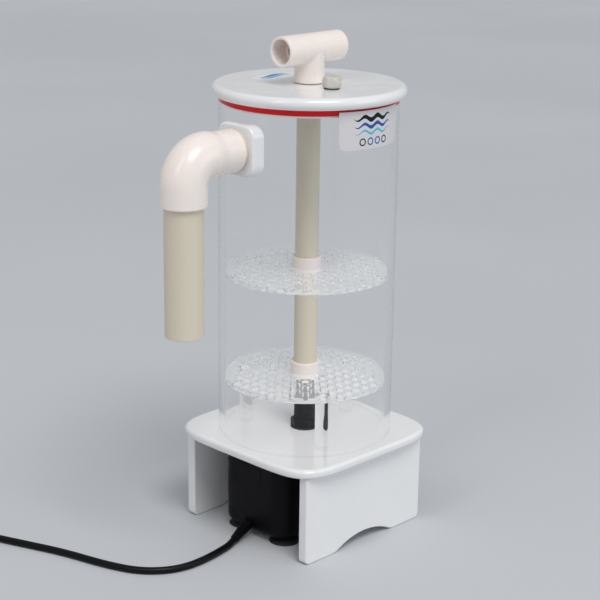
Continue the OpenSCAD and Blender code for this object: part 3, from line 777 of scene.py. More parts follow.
def length(name, description, default, **more):
    """A length setting."""
    return FloatProperty(name=name, description=description, default=default, min=0.0, unit="LENGTH",
                         precision=5, **more)


def colour(name, description, code):
    """A colour setting."""
    return FloatVectorProperty(name=name, description=description, default=tone(code), subtype="COLOR", min=0.0,
                               max=1.0)


class ReactorBase(bpy.types.PropertyGroup):
    """Raised base"""
    colour: colour("Colour", "Colour of the white sheet", "#EFEEEE")
    squareness: FloatProperty(name="Squareness", description="Power of the plate's bowed outline", default=5.7, min=2)
    edge: length("Plate edge", "Radius of the plate's edge", 3 * MM)
    leg_edge: length("Leg edge", "Radius of the leg plates' edges", 1.3 * MM)
    leg_corner: length("Leg corner", "Radius of the leg plates' lower corners", 5 * MM)
    arch_height: length("Arch height", "Height of the arch under each leg plate", 9.5 * MM)
    arch_half: length("Arch half width", "Half the width of that arch", 35 * MM)
    arch_blend: length("Arch blend", "Radius where the arch meets the floor", 15 * MM)


class ReactorColumn(bpy.types.PropertyGroup):
    """Clear column"""
    colour: colour("Colour", "Tint of the clear acrylic", "#FFFFFF")
    edge: length("Edge", "Polished chamfer of the cut edges", 0.4 * MM)
    pitch: length("Hole pitch", "Distance between the plates' holes", 10 * MM)
    hole: length("Hole radius", "Radius of the plates' holes", 3 * MM)


class ReactorLid(bpy.types.PropertyGroup):
    """Lid, tee and bleed plug"""
    ring_colour: colour("O-ring", "Colour of the silicone O-ring", "#E3060C")
    plug_colour: colour("Bleed plug", "Colour of the bleed plug", "#EFEAE0")
    plug_turned: FloatProperty(name="Bleed plug corner", description="Degrees from +X to a corner of its head",
                               default=15, min=0, max=60)
    fillet: length("Tee fillet", "Radius where the tee's branch meets its run", 3 * MM)


class ReactorOutlet(bpy.types.PropertyGroup):
    """Outlet and pipes"""
    pipe_colour: colour("Pipe", "Colour of the extruded pipes", "#DCD2BD")
    fitting_colour: colour("Fitting", "Colour of the moulded fittings", "#F8ECE5")
    neck: length("Elbow neck", "Outer radius of the elbow beside the column", 17.6 * MM)
    edge: length("Flange edge", "Radius of the flange's front edge", 2 * MM)


class ReactorPump(bpy.types.PropertyGroup):
    """Pump"""
    colour: colour("Colour", "Colour of the housing", "#08070A")
    corner: length("Corner", "Radius of the upright corners", 15 * MM)
    edge: length("Lower edge", "Radius of the lower edge", 7 * MM)
    seam: length("Seam", "Width of the eased edge at each parting line", 0.7 * MM)
    slot_width: length("Slot width", "Width of the strainer's slots", 3 * MM)
    slot_pitch: length("Slot pitch", "Distance between the strainer's slots", 7 * MM)


class ReactorLead(bpy.types.PropertyGroup):
    """Mains lead"""
    colour: colour("Colour", "Colour of the sheath", "#09090A")
    diameter: length("Diameter", "Diameter of the lead", 6 * MM)
    coil_radius: length("Coil radius", "Radius of the stored coil's outer turns", 36 * MM)


class ReactorStage(bpy.types.PropertyGroup):
    """Studio"""
    floor_colour: colour("Floor", "Colour of the floor", "#C6C8CC")
    sky_colour: colour("Surroundings colour", "Colour of the surroundings", "#D3D7DC")
    sky: FloatProperty(name="Surroundings", description="Strength of the surrounding light", default=0.62, min=0)
    key: FloatProperty(name="Key", description="Strength of the overhead key light", default=1.45, min=0)
    side_power: FloatProperty(name="Side", description="Power of the cool side light in watts", default=4.0, min=0)
    strip_power: FloatProperty(name="Strip", description="Power of the narrow strip light in watts", default=3.0,
                               min=0)


# ---- base ----

def leg_outline(half, top, base):
    """A leg plate seen from the side, with an arch under it."""
    corner, blend = base.leg_corner, base.arch_blend
    big = (base.arch_half ** 2 + base.arch_height ** 2) / (2 * base.arch_height)
    arch_z = base.arch_height - big
    blend_x = math.sqrt((big + blend) ** 2 - (blend - arch_z) ** 2)
    meeting = math.degrees(math.atan2(blend - arch_z, blend_x))
    left = arc((-half + corner, corner), corner, 180, 270, 8)
    left += [(-x, z) for x, z in arc((blend_x, blend), blend, -90, meeting - 180, 8)]
    left += [(-x, z) for x, z in arc((0, arch_z), big, meeting, 90, 12)][1:-1]
    right = [(-x, z) for x, z in reversed(left)]
    return left + [(0, base.arch_height)] + right + [(half, top), (-half, top)]


class REACTOR_OT_base(bpy.types.Operator):
    """Make the base plate and the two leg plates"""
    bl_idname = "reactor.base"
    bl_label = "Raised base"

    def execute(self, context):
        base = context.scene.reactor_base
        bottom, top = low("base_plate").z, high("base_plate").z
        half = radius_of("base_plate")
        hole = radius_of("pump_nozzle") + 0.2 * MM
        edge = base.edge
        rise = [(half - edge + edge * math.sin(a), edge * (1 - math.cos(a))) for a in quarter(8)]
        sides = [(r, bottom + h) for r, h in rise] + [(r, top - h) for r, h in reversed(rise)]
        loops = [[Vector((a, b, z)) for a, b in bowed_square(r, base.squareness)] for r, z in sides]
        loops += [circle(hole, z, count=192) for z in (top, bottom)]
        finish(loft("base_plate_finished", loops, ring=True), "base_plate")
        for name in ("front_leg", "rear_leg"):
            outline = leg_outline(high(name).x, high(name).z, base)
            plate = prism(f"{name}_finished", outline, lambda a, b, c: Vector((a, c, b)), low(name).y, high(name).y)
            finish(eased_edges(plate, base.leg_edge), name)
        return {"FINISHED"}


# ---- column ----

class REACTOR_OT_column(bpy.types.Operator):
    """Make the clear column, its pillars, perforated plates and label"""
    bl_idname = "reactor.column"
    bl_label = "Clear column"

    def execute(self, context):
        look = context.scene.reactor_column
        outer, bore = radius_of("column"), radius_of("lid_oring") + 0.1 * MM
        bottom, top = low("column").z - SUNK, high("column").z
        wall = ease([(bore, bottom), (outer, bottom), (outer, top), (bore, top)], look.edge)
        tube = lathe("column_finished", wall, count=256)
        stub_r = radius_of("outlet_stub", 1)
        drill = lathe("drill", [(stub_r, -outer - 0.01), (stub_r, -outer + 0.02)], Z * middle("outlet_stub").z, X,
                      ring=False, count=64)
        finish(cut(tube, drill), "column", angle=30)
        for name in ("pillar_1", "pillar_2", "pillar_3"):
            r, pole, start, end = radius_of(name), 0.5 * MM, low(name).z - SUNK, high(name).z
            rod = ease([(pole, start), (r, start), (r, end), (pole, end)], look.edge, closed=False)
            finish(lathe(f"{name}_finished", rod, foot(name), ring=False, count=64), name)
        self.make_plates(look)
        self.make_label()
        return {"FINISHED"}

    def make_plates(self, look):
        tree = perforated_tree(material_of("drilled_acrylic"))
        radius, core = radius_of("upper_plate"), radius_of("upper_coupling")
        steps = int(radius / look.pitch)
        for name in ("lower_plate", "upper_plate"):
            plate = grow(f"{name}_finished", tree, {
                "Radius": radius, "Pipe hole radius": core + 0.05 * MM, "Height": low(name).z,
                "Thickness": high(name).z - low(name).z, "Holes across": 2 * steps + 1,
                "Grid size": 2 * steps * look.pitch, "Hole radius": look.hole,
                "Outer limit": radius - look.hole - 2 * MM, "Inner limit": core + look.hole + 1 * MM})
            finish(plate, name)

    def make_label(self):
        outer, corner, columns = radius_of("column"), 7 * MM, 48
        start, end = (math.asin(x / (outer + 0.3 * MM)) for x in (low("column_label").x, high("column_label").x))
        half, turned = (end - start) / 2 * outer, (start + end) / 2 - math.pi / 2
        half_h, mid_z = (high("column_label").z - low("column_label").z) / 2, middle("column_label").z
        verts, faces, maps = [], [], []
        for r in (outer - 0.05 * MM, outer + 0.25 * MM):
            for i in range(columns + 1):
                u = -half + 2 * half * i / columns
                into = max(0.0, abs(u) - (half - corner))
                lift = corner - math.sqrt(max(0.0, corner ** 2 - into ** 2))
                a = u / outer + turned
                for v in (-half_h + lift, half_h):
                    verts.append(polar(r, a, mid_z + v))
                    maps.append((u, v))
        n = 2 * (columns + 1)
        for i in range(columns):
            a, b, c, d = 2 * i, 2 * i + 2, 2 * i + 3, 2 * i + 1
            faces += [(a + n, b + n, c + n, d + n), (d, c, b, a), (a, b, b + n, a + n), (c, d, d + n, c + n)]
        faces += [(0, n, n + 1, 1), (n - 2, n - 1, 2 * n - 1, 2 * n - 2)]
        mesh = bpy.data.meshes.new("column_label_finished")
        mesh.from_pydata(verts, [], faces)
        print_map = mesh.uv_layers.new(name="Print")
        for corner_of in mesh.loops:
            print_map.data[corner_of.index].uv = maps[corner_of.vertex_index]
        finish(new_piece("column_label_finished", mesh), "column_label")


# ---- lid ----

def tee_branch(name, tee_z, run_r, foot_r, neck_r, bottom, fillet, socket_r, socket_top, bore):
    """The tee's branch, with a fillet that runs out on the run's surface."""
    turns = [math.tau * k / 96 for k in range(96)]
    just_in = 0.997  # the fillet's edge lies this much inside the run, so that no gap shows
    meeting = [tee_z - math.sqrt(run_r ** 2 - (neck_r * math.sin(t)) ** 2) for t in turns]

    def ring(radius, height):
        return [polar(radius, t, height) for t in turns]

    blend = []
    for step in range(7):
        s = step / 6
        loop = []
        for t, z in zip(turns, meeting):
            reach = fillet * abs(math.cos(t))
            wall = polar(neck_r, t, z)
            below = wall - Z * reach
            along = wall + X * math.copysign(reach, math.cos(t))
            along = Vector((along.x, along.y * just_in, tee_z + (along.z - tee_z) * just_in))
            loop.append(below * (1 - s) ** 2 + wall * 2 * s * (1 - s) + along * s * s)
        blend.append(loop)
    neck = min(p.z for p in blend[0])
    flare = [(foot_r - 0.5 * MM, bottom), (foot_r, bottom + 0.5 * MM), (foot_r - 0.3 * MM, bottom + 3 * MM),
             (neck_r + 0.15 * MM, bottom + 7 * MM), (neck_r, neck - 0.3 * MM)]
    loops = [ring(r, h) for r, h in flare] + blend
    loops += [ring(bore, tee_z - run_r + 2 * MM), ring(bore, socket_top), ring(socket_r, socket_top),
              ring(socket_r, bottom)]
    return loft(name, loops, ring=True)


class REACTOR_OT_lid(bpy.types.Operator):
    """Make the lid, its plug ring, O-ring, sticker, inlet pipe, tee and bleed plug"""
    bl_idname = "reactor.lid"
    bl_label = "Lid and tee"

    def execute(self, context):
        look = context.scene.reactor_lid
        pipe_r = radius_of("inlet_pipe")
        bottom, top, rim = low("lid").z, high("lid").z, radius_of("lid")
        edge = (top - bottom) / 2
        side = arc((rim - edge, bottom + edge), edge, -90, 90, 20)
        disc = lathe("lid_finished", [(pipe_r, bottom), *side, (pipe_r, top)], count=256)
        drill = lathe("drill", [(BLEED_HOLE, bottom - 0.01), (BLEED_HOLE, top + 0.01)], foot("bleed_plug"),
                      ring=False, count=48)
        finish(cut(disc, drill), "lid")
        self.make_plug_ring()
        self.make_sticker()
        start, end = low("inlet_pipe").z, high("inlet_pipe").z
        finish(tube("inlet_pipe_finished", pipe_r, PIPE_BORE, start, end), "inlet_pipe")
        self.make_tee(look)
        self.make_bleed(look, top)
        return {"FINISHED"}

    def make_plug_ring(self):
        bottom, top, outer = low("lid_plug").z, high("lid_plug").z, radius_of("lid_plug")
        groove = radius_of("lid_oring") - (high("lid_oring").z - low("lid_oring").z)
        lip = 1.5 * MM
        profile = [(groove - 6 * MM, bottom), (outer, bottom), (outer, bottom + lip), (groove, bottom + lip),
                   (groove, top), (groove - 6 * MM, top)]
        finish(lathe("lid_plug_finished", ease(profile, 0.4 * MM), count=256), "lid_plug")
        at_z, inner, pressed = middle("lid_oring").z, groove, radius_of("lid_oring") + 0.2 * MM
        half = (high("lid_oring").z - low("lid_oring").z) / 2
        squashed = ease([(inner, at_z - half), (pressed, at_z - half), (pressed, at_z + half), (inner, at_z + half)],
                        0.5 * MM, 5)
        finish(lathe("lid_oring_finished", squashed, count=256), "lid_oring", angle=80)

    def make_sticker(self):
        at, top = middle("lid_sticker"), low("lid_sticker").z
        half_w, half_h = radius_of("lid_sticker"), radius_of("lid_sticker", 1)
        outline = rounded_box(half_w, half_h, half_h * 0.98, 10, 6)
        piece = prism("lid_sticker_finished", outline, lambda a, b, c: Vector((at.x + a, at.y + b, top + c)),
                      0.0, 0.25 * MM)
        print_map = piece.data.uv_layers.new(name="Print")
        for corner in piece.data.loops:
            place = piece.data.vertices[corner.vertex_index].co
            print_map.data[corner.index].uv = (place.x - at.x, place.y - at.y)
        finish(piece, "lid_sticker")

    def make_tee(self, look):
        half, run_r = radius_of("inlet_tee"), 12.5 * MM
        tee_z = high("inlet_tee").z - run_r
        bore, socket, deep = PIPE_BORE, 10.1 * MM, 16 * MM
        profile = [(bore, -half + deep), (socket, -half + deep), (socket, -half), (run_r, -half), (run_r, half),
                   (socket, half), (socket, half - deep), (bore, half - deep)]
        run = lathe("run", ease(profile, 0.8 * MM), Z * tee_z, X, count=128)
        drill = lathe("drill", [(bore, tee_z - 0.03), (bore, tee_z)], ring=False, count=64)
        cut(run, drill)
        branch = tee_branch("branch", tee_z, run_r, 13.3 * MM, 12.35 * MM, low("inlet_tee").z, look.fillet,
                            10.05 * MM, high("inlet_pipe").z + 1.5 * MM, bore)
        finish(joined("inlet_tee_finished", run, branch), "inlet_tee")

    def make_bleed(self, look, lid_top):
        at, seal_r, seal_top = foot("bleed_plug"), radius_of("bleed_seal"), high("bleed_seal").z
        seal = ease([(BLEED_HOLE, lid_top), (seal_r, lid_top), (seal_r, seal_top), (BLEED_HOLE, seal_top)], 0.4 * MM)
        finish(lathe("bleed_seal_finished", seal, at, count=64), "bleed_seal")
        bottom, top, stem = low("bleed_plug").z, high("bleed_plug").z, 3.95 * MM
        turned, pole = math.radians(look.plug_turned), 0.4 * MM
        corner_r = radius_of("bleed_plug") / math.cos(turned)
        flat_r = corner_r * math.cos(math.pi / 6)
        rows = [(flat_r * 0.97, seal_top), (corner_r, seal_top + 0.7 * MM), (corner_r, top - 2.7 * MM),
                (flat_r * 0.98, top - 1.0 * MM), (flat_r * 0.93, top - 0.3 * MM), (flat_r * 0.87, top)]
        shank = [(pole, bottom), (stem - 0.5 * MM, bottom), (stem, bottom + 0.5 * MM), (stem, seal_top)]
        loops = [circle(r, z, at) for r, z in shank]
        loops += [hexagon(corner_r, limit, z, turned, at) for limit, z in rows]
        loops += [circle(r, top - 0.5 * MM, at) for r in (flat_r * 0.7, pole)]
        finish(loft("bleed_plug_finished", loops), "bleed_plug", angle=22)


# ---- riser ----

def tube(name, outer, bore, start, end, centre=Vector(), axis=Z, edge=0.5 * MM):
    """A plain pipe with its cut ends deburred."""
    return lathe(name, ease([(bore, start), (outer, start), (outer, end), (bore, end)], edge), centre, axis, count=96)


class REACTOR_OT_riser(bpy.types.Operator):
    """Make the riser pipe and its two couplings"""
    bl_idname = "reactor.riser"
    bl_label = "Riser"

    def execute(self, context):
        pipe_r, bore = radius_of("riser_pipe"), PIPE_BORE
        finish(tube("riser_pipe_finished", pipe_r, bore, low("riser_pipe").z, high("riser_pipe").z), "riser_pipe")
        for name, lower, upper in (("lower_coupling", 9.35 * MM, pipe_r),
                                   ("upper_coupling", pipe_r, pipe_r + 0.05 * MM)):
            r, start, end = radius_of(name), low(name).z, high(name).z
            step = start + 9 * MM
            profile = [(lower, start), (r, start), (r, end), (upper, end), (upper, step), (bore, step),
                       (bore, step - 1 * MM), (lower, step - 1 * MM)]
            finish(lathe(f"{name}_finished", ease(profile, 0.6 * MM), count=96), name)
        return {"FINISHED"}


# ---- outlet ----

class REACTOR_OT_outlet(bpy.types.Operator):
    """Make the flange, its stub, the elbow and the drop pipe"""
    bl_idname = "reactor.outlet"
    bl_label = "Outlet"

    def execute(self, context):
        look = context.scene.reactor_outlet
        self.make_flange(look)
        stub_r, at_z = radius_of("outlet_stub", 1), middle("outlet_stub").z
        start, end = low("outlet_stub").x, high("outlet_stub").x
        finish(tube("outlet_stub_finished", stub_r, OUTLET_BORE, start, end, Z * at_z, X), "outlet_stub")
        bottom, top = low("drop_pipe").z, high("drop_pipe").z
        drop = tube("drop_pipe_finished", radius_of("drop_pipe"), OUTLET_BORE, bottom, top, foot("drop_pipe"),
                    edge=0.7 * MM)
        finish(drop, "drop_pipe")
        self.make_elbow(look, middle("drop_pipe").x, at_z, stub_r, OUTLET_BORE)
        return {"FINISHED"}

    def make_flange(self, look):
        face, tube_r = low("outlet_flange").x, radius_of("column")
        at_z, half = middle("outlet_flange").z, radius_of("outlet_flange", 1)
        hole = radius_of("outlet_stub", 1)
        edge, corner = look.edge, 10 * MM
        sunk = 0.1 * MM

        def outline(inset, x=None):
            loop = []
            for y, z in rounded_box(half - inset, half - inset, corner - inset):
                back = -math.sqrt((tube_r - sunk) ** 2 - y * y)
                loop.append(Vector((back if x is None else x, y, at_z + z)))
            return loop

        def bore(back):
            loop = []
            for y, z in rounded_box(half, half, corner):
                a = math.atan2(z, y)
                y, z = hole * math.cos(a), hole * math.sin(a)
                x = -math.sqrt((tube_r - sunk) ** 2 - y * y) if back else face
                loop.append(Vector((x, y, at_z + z)))
            return loop

        rim = [outline(edge * (1 - math.sin(a)), face + edge * (1 - math.cos(a))) for a in quarter(6)]
        loops = [bore(False)] + rim + [outline(0), bore(True)]
        finish(loft("outlet_flange_finished", loops, ring=True), "outlet_flange")

    def make_elbow(self, look, drop_x, top_z, stub_r, bore):
        mouth_x, mouth_z = high("outlet_elbow").x, low("outlet_elbow").z
        outer, neck = radius_of("outlet_elbow", 1), look.neck
        bend, taper, lip = 22 * MM, 12 * MM, 1.1 * MM
        centre = Vector((drop_x + bend, 0, top_z - bend))

        def along(t):
            """A place and heading on the centre line: below 0 on the flat limb, above 1 on the upright one."""
            a = math.pi / 2 * min(max(t, 0), 1)
            place = centre + bend * Vector((-math.sin(a), 0, math.cos(a)))
            heading = Vector((-math.cos(a), 0, -math.sin(a)))
            return place + heading * (min(t, 0) + max(t - 1, 0)), heading

        def wide(t):
            """The elbow's outer radius, which tapers towards the column."""
            return neck + (outer - neck) * smooth(1 + t / taper)

        flat, upright = centre.x - mouth_x, 1 + centre.z - mouth_z
        steps = [i / 16 for i in range(17)]
        limb = [-taper * (1 - i / 6) for i in range(6)]
        rim = [(lip * (1 - math.cos(a)), lip * (1 - math.sin(a))) for a in quarter(5)]
        route = [(flat + d, neck - h) for d, h in rim]
        route += [(t, wide(t)) for t in limb + steps]
        route += [(upright - 8 * MM, outer)] + [(upright - d, outer - 0.15 * MM - h) for d, h in reversed(rim)]
        stop_z, stop_x = high("drop_pipe").z, low("outlet_stub").x
        upper_stop, side_stop = 1 + centre.z - stop_z, centre.x - stop_x
        drop_r = radius_of("drop_pipe")
        route += [(upright, drop_r), (min(upper_stop, upright - 1 * MM), drop_r), (max(upper_stop, 1), bore)]
        route += [(t, bore) for t in reversed(steps)]
        slip, play = stub_r + 0.12 * MM, 0.15 * MM
        route += [(side_stop - play, bore), (side_stop - play, slip), (flat, slip)]
        loops = [hoop(*along(t), r, 96) for t, r in route]
        finish(loft("outlet_elbow_finished", loops, ring=True), "outlet_elbow")


# ---- pump ----

def pump_block(name, pump, inset=0.0):
    """The pump's whole outer form, with round upright corners and a round lower edge."""
    start, end = low("motor_housing").x, high("strainer").x
    half_x, half_y = (end - start) / 2, radius_of("motor_housing", 1)
    bottom, top = low("motor_housing").z, high("motor_housing").z
    middle_x, lower, upper = (start + end) / 2, pump.edge, 2.5 * MM
    heights = [(lower * (1 - math.sin(a)), bottom + inset + lower * (1 - math.cos(a))) for a in quarter(8)]
    heights += [(upper * (1 - math.cos(a)), top - inset - upper * (1 - math.sin(a))) for a in quarter(5)]
    loops = []
    for pulled, z in heights:
        d = pulled + inset
        outline = rounded_box(half_x - d, half_y - d, pump.corner - d, 12, 4)
        loops.append([Vector((middle_x + a, b, z)) for a, b in outline])
    return loft(name, loops)


class REACTOR_OT_pump(bpy.types.Operator):
    """Make the pump's housing, volute, cover, strainer, feet, nozzle and nut"""
    bl_idname = "reactor.pump"
    bl_label = "Pump"

    def execute(self, context):
        pump = context.scene.reactor_pump
        self.make_housing(pump)
        for name in ("volute", "front_cover"):
            part = slice_between(pump_block(f"{name}_finished", pump), low(name).x, high(name).x)
            finish(eased_edges(part, pump.seam), name)
        self.make_strainer(pump)
        for i in range(1, 5):
            self.make_foot(f"pump_foot_{i}")
        self.make_nozzle()
        return {"FINISHED"}

    def make_housing(self, pump):
        start, end = low("motor_housing").x, high("motor_housing").x
        shell = slice_between(pump_block("shell", pump), start - 1 * MM, end)
        shell = eased_edges(shell, pump.seam)
        face_z = middle("motor_housing").z
        raised = []
        for outline, y, z, proud in ((rounded_box(3.2 * MM, 0.6 * MM, 0.55 * MM, 5, 2), -19 * MM, 0.0, 0.3 * MM),
                                     (rounded_box(15 * MM, 9 * MM, 3 * MM, 8, 2), 4 * MM, 15 * MM, 0.25 * MM)):
            block = prism("raised", outline, lambda a, b, c: Vector((c, y + a, face_z + z + b)), start - proud,
                          start + 1 * MM)
            raised.append(eased_edges(block, 0.2 * MM))
        finish(joined("motor_housing_finished", shell, *raised), "motor_housing")

    def make_strainer(self, pump):
        start = low("strainer").x
        wall = 2.5 * MM
        shell = slice_between(pump_block("shell", pump), start, high("strainer").x + 1 * MM)
        hollow = slice_between(pump_block("hollow", pump, wall), start - 5 * MM, high("strainer").x)
        cut(shell, hollow)
        low_z, high_z = low("strainer").z + 12 * MM, high("strainer").z - 10 * MM
        mid_z, half_y = (low_z + high_z) / 2, radius_of("strainer", 1)
        side_slots, end_slots = 5, 7
        reach_y, reach_x = 2 * half_y + 20 * MM, 20 * MM
        cage = grow("strainer_finished", slotted_tree(material_of("pump_abs")), {
            "Shell": shell, "Slot width": pump.slot_width, "Slot height": high_z - low_z, "Pitch": pump.slot_pitch,
            "Side slots": side_slots, "End slots": end_slots,
            "First side slot": (start + 5.5 * MM, reach_y / 2, mid_z),
            "First end slot": (high("strainer").x - 8 * MM, -pump.slot_pitch * (end_slots - 1) / 2, mid_z),
            "Side reach": reach_y, "End reach": reach_x})
        bpy.data.objects.remove(shell)
        finish(cage, "strainer")

    def make_foot(self, name):
        r, top, pole = radius_of(name), high(name).z, 0.4 * MM
        cup = [(pole, 2.2 * MM), (r * 0.45, 1.7 * MM), (r * 0.8, 0.5 * MM), (r - 0.4 * MM, 0), (r, 0.25 * MM),
               (r * 0.9, 1.5 * MM), (r * 0.62, 2.7 * MM), (r * 0.42, 3.4 * MM), (r * 0.36, top), (pole, top)]
        finish(lathe(f"{name}_finished", ease(cup, 1 * MM, 3, closed=False), foot(name), ring=False, count=64), name)

    def make_nozzle(self):
        r, bore, top = radius_of("pump_nozzle"), 7 * MM, high("pump_nozzle").z
        bottom = low("pump_nozzle").z
        pitch, depth = 1.6 * MM, 0.35 * MM
        thread_top = top - 12 * MM
        count, loops = 48, []
        rows = int((thread_top - bottom) / pitch * 8)
        for i in range(rows + 1):
            z = bottom + (thread_top - bottom) * i / rows
            groove = [depth * abs((z / pitch - k / count) % 1 * 2 - 1) for k in range(count)]
            loops.append([polar(r - groove[k], math.tau * k / count, z) for k in range(count)])
        tail = [(r - 0.1 * MM, thread_top + 0.6 * MM), (r - 0.1 * MM, top - 0.6 * MM), (r - 0.7 * MM, top),
                (bore, top), (bore, bottom)]
        loops += [circle(a, z, count=count) for a, z in tail]
        finish(loft("pump_nozzle_finished", loops, ring=True), "pump_nozzle")
        self.make_nut(r)

    def make_nut(self, thread_r):
        bottom, top = low("nozzle_nut").z, high("nozzle_nut").z
        corner_r = radius_of("nozzle_nut")
        flat_r = corner_r * math.cos(math.pi / 6)
        rows = [(flat_r * 0.99, bottom), (corner_r, bottom + 0.9 * MM), (corner_r, top - 1.3 * MM),
                (flat_r * 0.97, top)]
        loops = [hexagon(corner_r, limit, z) for limit, z in rows]
        loops += [circle(thread_r, top), circle(thread_r, bottom)]
        finish(loft("nozzle_nut_finished", loops, ring=True), "nozzle_nut")


# ---- mains lead ----

# the lead's free stretch on the floor, in millimetres
FREE_ROUTE = [
    (-86, -2.5, 5.4), (-95, -4.8, 3.4), (-104, -6.6, 3), (-119, -9, 3), (-134, -10, 3), (-147, -9, 3),
    (-158, -5.5, 3), (-168, 0.5, 3), (-176, 8, 3), (-183, 18, 3), (-188, 29, 3), (-193, 43, 3),
    (-197, 57, 3), (-201, 72, 3), (-206, 88, 3), (-212, 104, 3), (-219, 122, 3), (-226, 140, 3),
    (-232, 156, 3), (-237, 172, 3),
]


def coil_place(turned, lead):
    """Radius and height of the stored coil after so many degrees; each step sideways or upwards takes 120 degrees."""
    row = smooth((turned - 240) / 120) + smooth((turned - 600) / 120)
    row -= smooth((turned - 1140) / 120) + smooth((turned - 1500) / 120)
    layer = smooth((turned - 900) / 120)
    return lead.coil_radius - row * lead.diameter, lead.diameter * (0.5 + layer)


def lead_route(lead):
    """Points along the whole lead: the free stretch, the coil's turns and the tail that runs to the plug."""
    route = [Vector(p) * MM for p in FREE_ROUTE]
    centre = middle("cord_coil")
    tail_start, tail_end = 60, 180
    whole, step = 5 * 360 + tail_start, 20
    on_floor = foot("cord_coil")
    for turned in range(0, whole, step):
        radius, height = coil_place(turned, lead)
        route.append(polar(radius, math.radians(turned), height, on_floor))
    plug = high("mains_plug")
    tail_r = centre.x - middle("mains_plug").x
    start_z, end_z = lead.diameter * 1.5, middle("mains_plug").z
    steps = 10
    for i in range(steps + 1):
        a = math.radians(tail_start + (tail_end - tail_start) * i / steps)
        t = smooth(i / steps)
        radius = lead.coil_radius + (tail_r - lead.coil_radius) * t
        route.append(polar(radius, a, start_z + (end_z - start_z) * t, on_floor))
    route[-1].y = plug.y
    return route


class REACTOR_OT_lead(bpy.types.Operator):
    """Make the strain relief, the mains lead with its coil and tie, and the plug"""
    bl_idname = "reactor.lead"
    bl_label = "Mains lead"

    def execute(self, context):
        lead = context.scene.reactor_lead
        self.make_relief()
        plug = self.make_plug(lead)
        pins = self.make_pins()
        tie = self.make_tie(lead)
        route = lead_route(lead)
        curve = bpy.data.curves.new("mains_lead", "CURVE")
        curve.dimensions = "3D"
        curve.bevel_depth = lead.diameter / 2
        curve.bevel_resolution = 5
        curve.resolution_u = 5
        curve.use_fill_caps = True
        spline = curve.splines.new("BEZIER")
        spline.bezier_points.add(len(route) - 1)
        for point, place in zip(spline.bezier_points, route):
            point.co = place
            point.handle_left_type = point.handle_right_type = "AUTO"
        cord = linked("mains_lead", curve)
        context.view_layer.update()
        curve.materials.append(material_of("cord_pvc"))
        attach(cord, "root")
        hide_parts("power_cord", "cord_coil", "cord_tail")
        return {"FINISHED"}

    def make_relief(self):
        start, end = Vector((-62, 4, 12.2)) * MM, Vector(FREE_ROUTE[0]) * MM
        heading, reach = (end - start).normalized(), (end - start).length
        ribs = 6
        stations = [(0.0, 5.0 * MM), (0.3, 5.0 * MM)]
        for i in range(ribs):
            a = 0.34 + 0.6 * i / ribs
            big = (4.9 - 1.1 * i / ribs) * MM
            small = big - 0.75 * MM
            stations += [(a, big), (a + 0.05, big), (a + 0.06, small), (a + 0.095, small)]
        stations += [(0.95, 3.9 * MM), (0.99, 3.8 * MM), (1.0, 3.4 * MM)]
        loops = [hoop(start + heading * reach * t, heading, r, 48) for t, r in stations]
        finish(loft("cord_relief_finished", loops), "cord_relief")

    def make_plug(self, lead):
        at, top = middle("mains_plug"), high("mains_plug").y
        length_y = top - low("mains_plug").y
        half_w, half_t = radius_of("mains_plug"), (high("mains_plug").z - low("mains_plug").z) / 2
        neck = lead.diameter / 2 + 0.6 * MM
        stations = [(0.0, neck, neck, 1.0)]
        for i in range(4):
            for further, proud in ((0.0, 0.9), (0.03, 0.9), (0.037, 0.2), (0.06, 0.3)):
                stations.append((0.04 + 0.07 * i + further, neck + proud * MM, neck + proud * MM, 1.0))
        stations += [(0.33, 6.2 * MM, 5.2 * MM, 0.95), (0.40, 9.5 * MM, 5.9 * MM, 0.8),
                     (0.48, 14.0 * MM, 6.4 * MM, 0.6),
                     (0.56, half_w - 0.6 * MM, half_t - 0.2 * MM, 0.5), (0.66, half_w, half_t, 0.45),
                     (0.90, half_w, half_t, 0.45), (0.97, half_w - 0.4 * MM, half_t - 0.3 * MM, 0.45),
                     (1.0, half_w - 1.5 * MM, half_t - 1.3 * MM, 0.45)]
        loops = []
        for t, w, h, corner in stations:
            y = top - length_y * t
            outline = rounded_box(w, h, min(w, h) * corner * 0.999, 8, 4)
            loops.append([Vector((at.x + a, y, at.z + b)) for a, b in outline])
        return finish(loft("mains_plug_finished", loops), "mains_plug", angle=50)

    def make_pins(self):
        at, end, start = middle("plug_pins"), low("plug_pins").y, high("plug_pins").y
        pole, pin_r, root = 0.3 * MM, 2 * MM, -start - 1 * MM
        spread = radius_of("plug_pins") - pin_r
        profile = ease([(pole, root), (pin_r, root), (pin_r, -end), (pole, -end)], 1.2 * MM, 5, closed=False)
        pins = [lathe("pin", profile, Vector((at.x + side * spread, 0, at.z)), -Y, ring=False, count=32)
                for side in (-1, 1)]
        return finish(joined("plug_pins_finished", *pins), "plug_pins")

    def make_tie(self, lead):
        d, a = lead.diameter, math.radians(30)
        outward, along = polar(1, a), polar(1, a + math.pi / 2)
        centre = foot("cord_coil") + outward * (lead.coil_radius - d) + Z * d
        thick, half_band = 0.45 * MM, 4.5 * MM
        above_floor = 0.02 * MM

        def band(out, side):
            outline = rounded_box(1.5 * d + out, d - thick - above_floor + out, d * 0.45 + out, 8, 3)
            return [centre + outward * u + along * side * half_band + Z * v for u, v in outline]

        loops = [band(thick * 0.7, -1), band(thick, -0.9), band(thick, 0.9), band(thick * 0.7, 1),
                 band(0.0, 1), band(0.0, -1)]
        tie = loft("coil_tie", loops, ring=True)
        tie.data.shade_smooth()
        tie.data.set_sharp_from_angle(angle=math.radians(50))
        tie.data.materials.append(material_of("black_rubber"))
        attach(tie, "root")
        return tie


# ---- hidden works ----

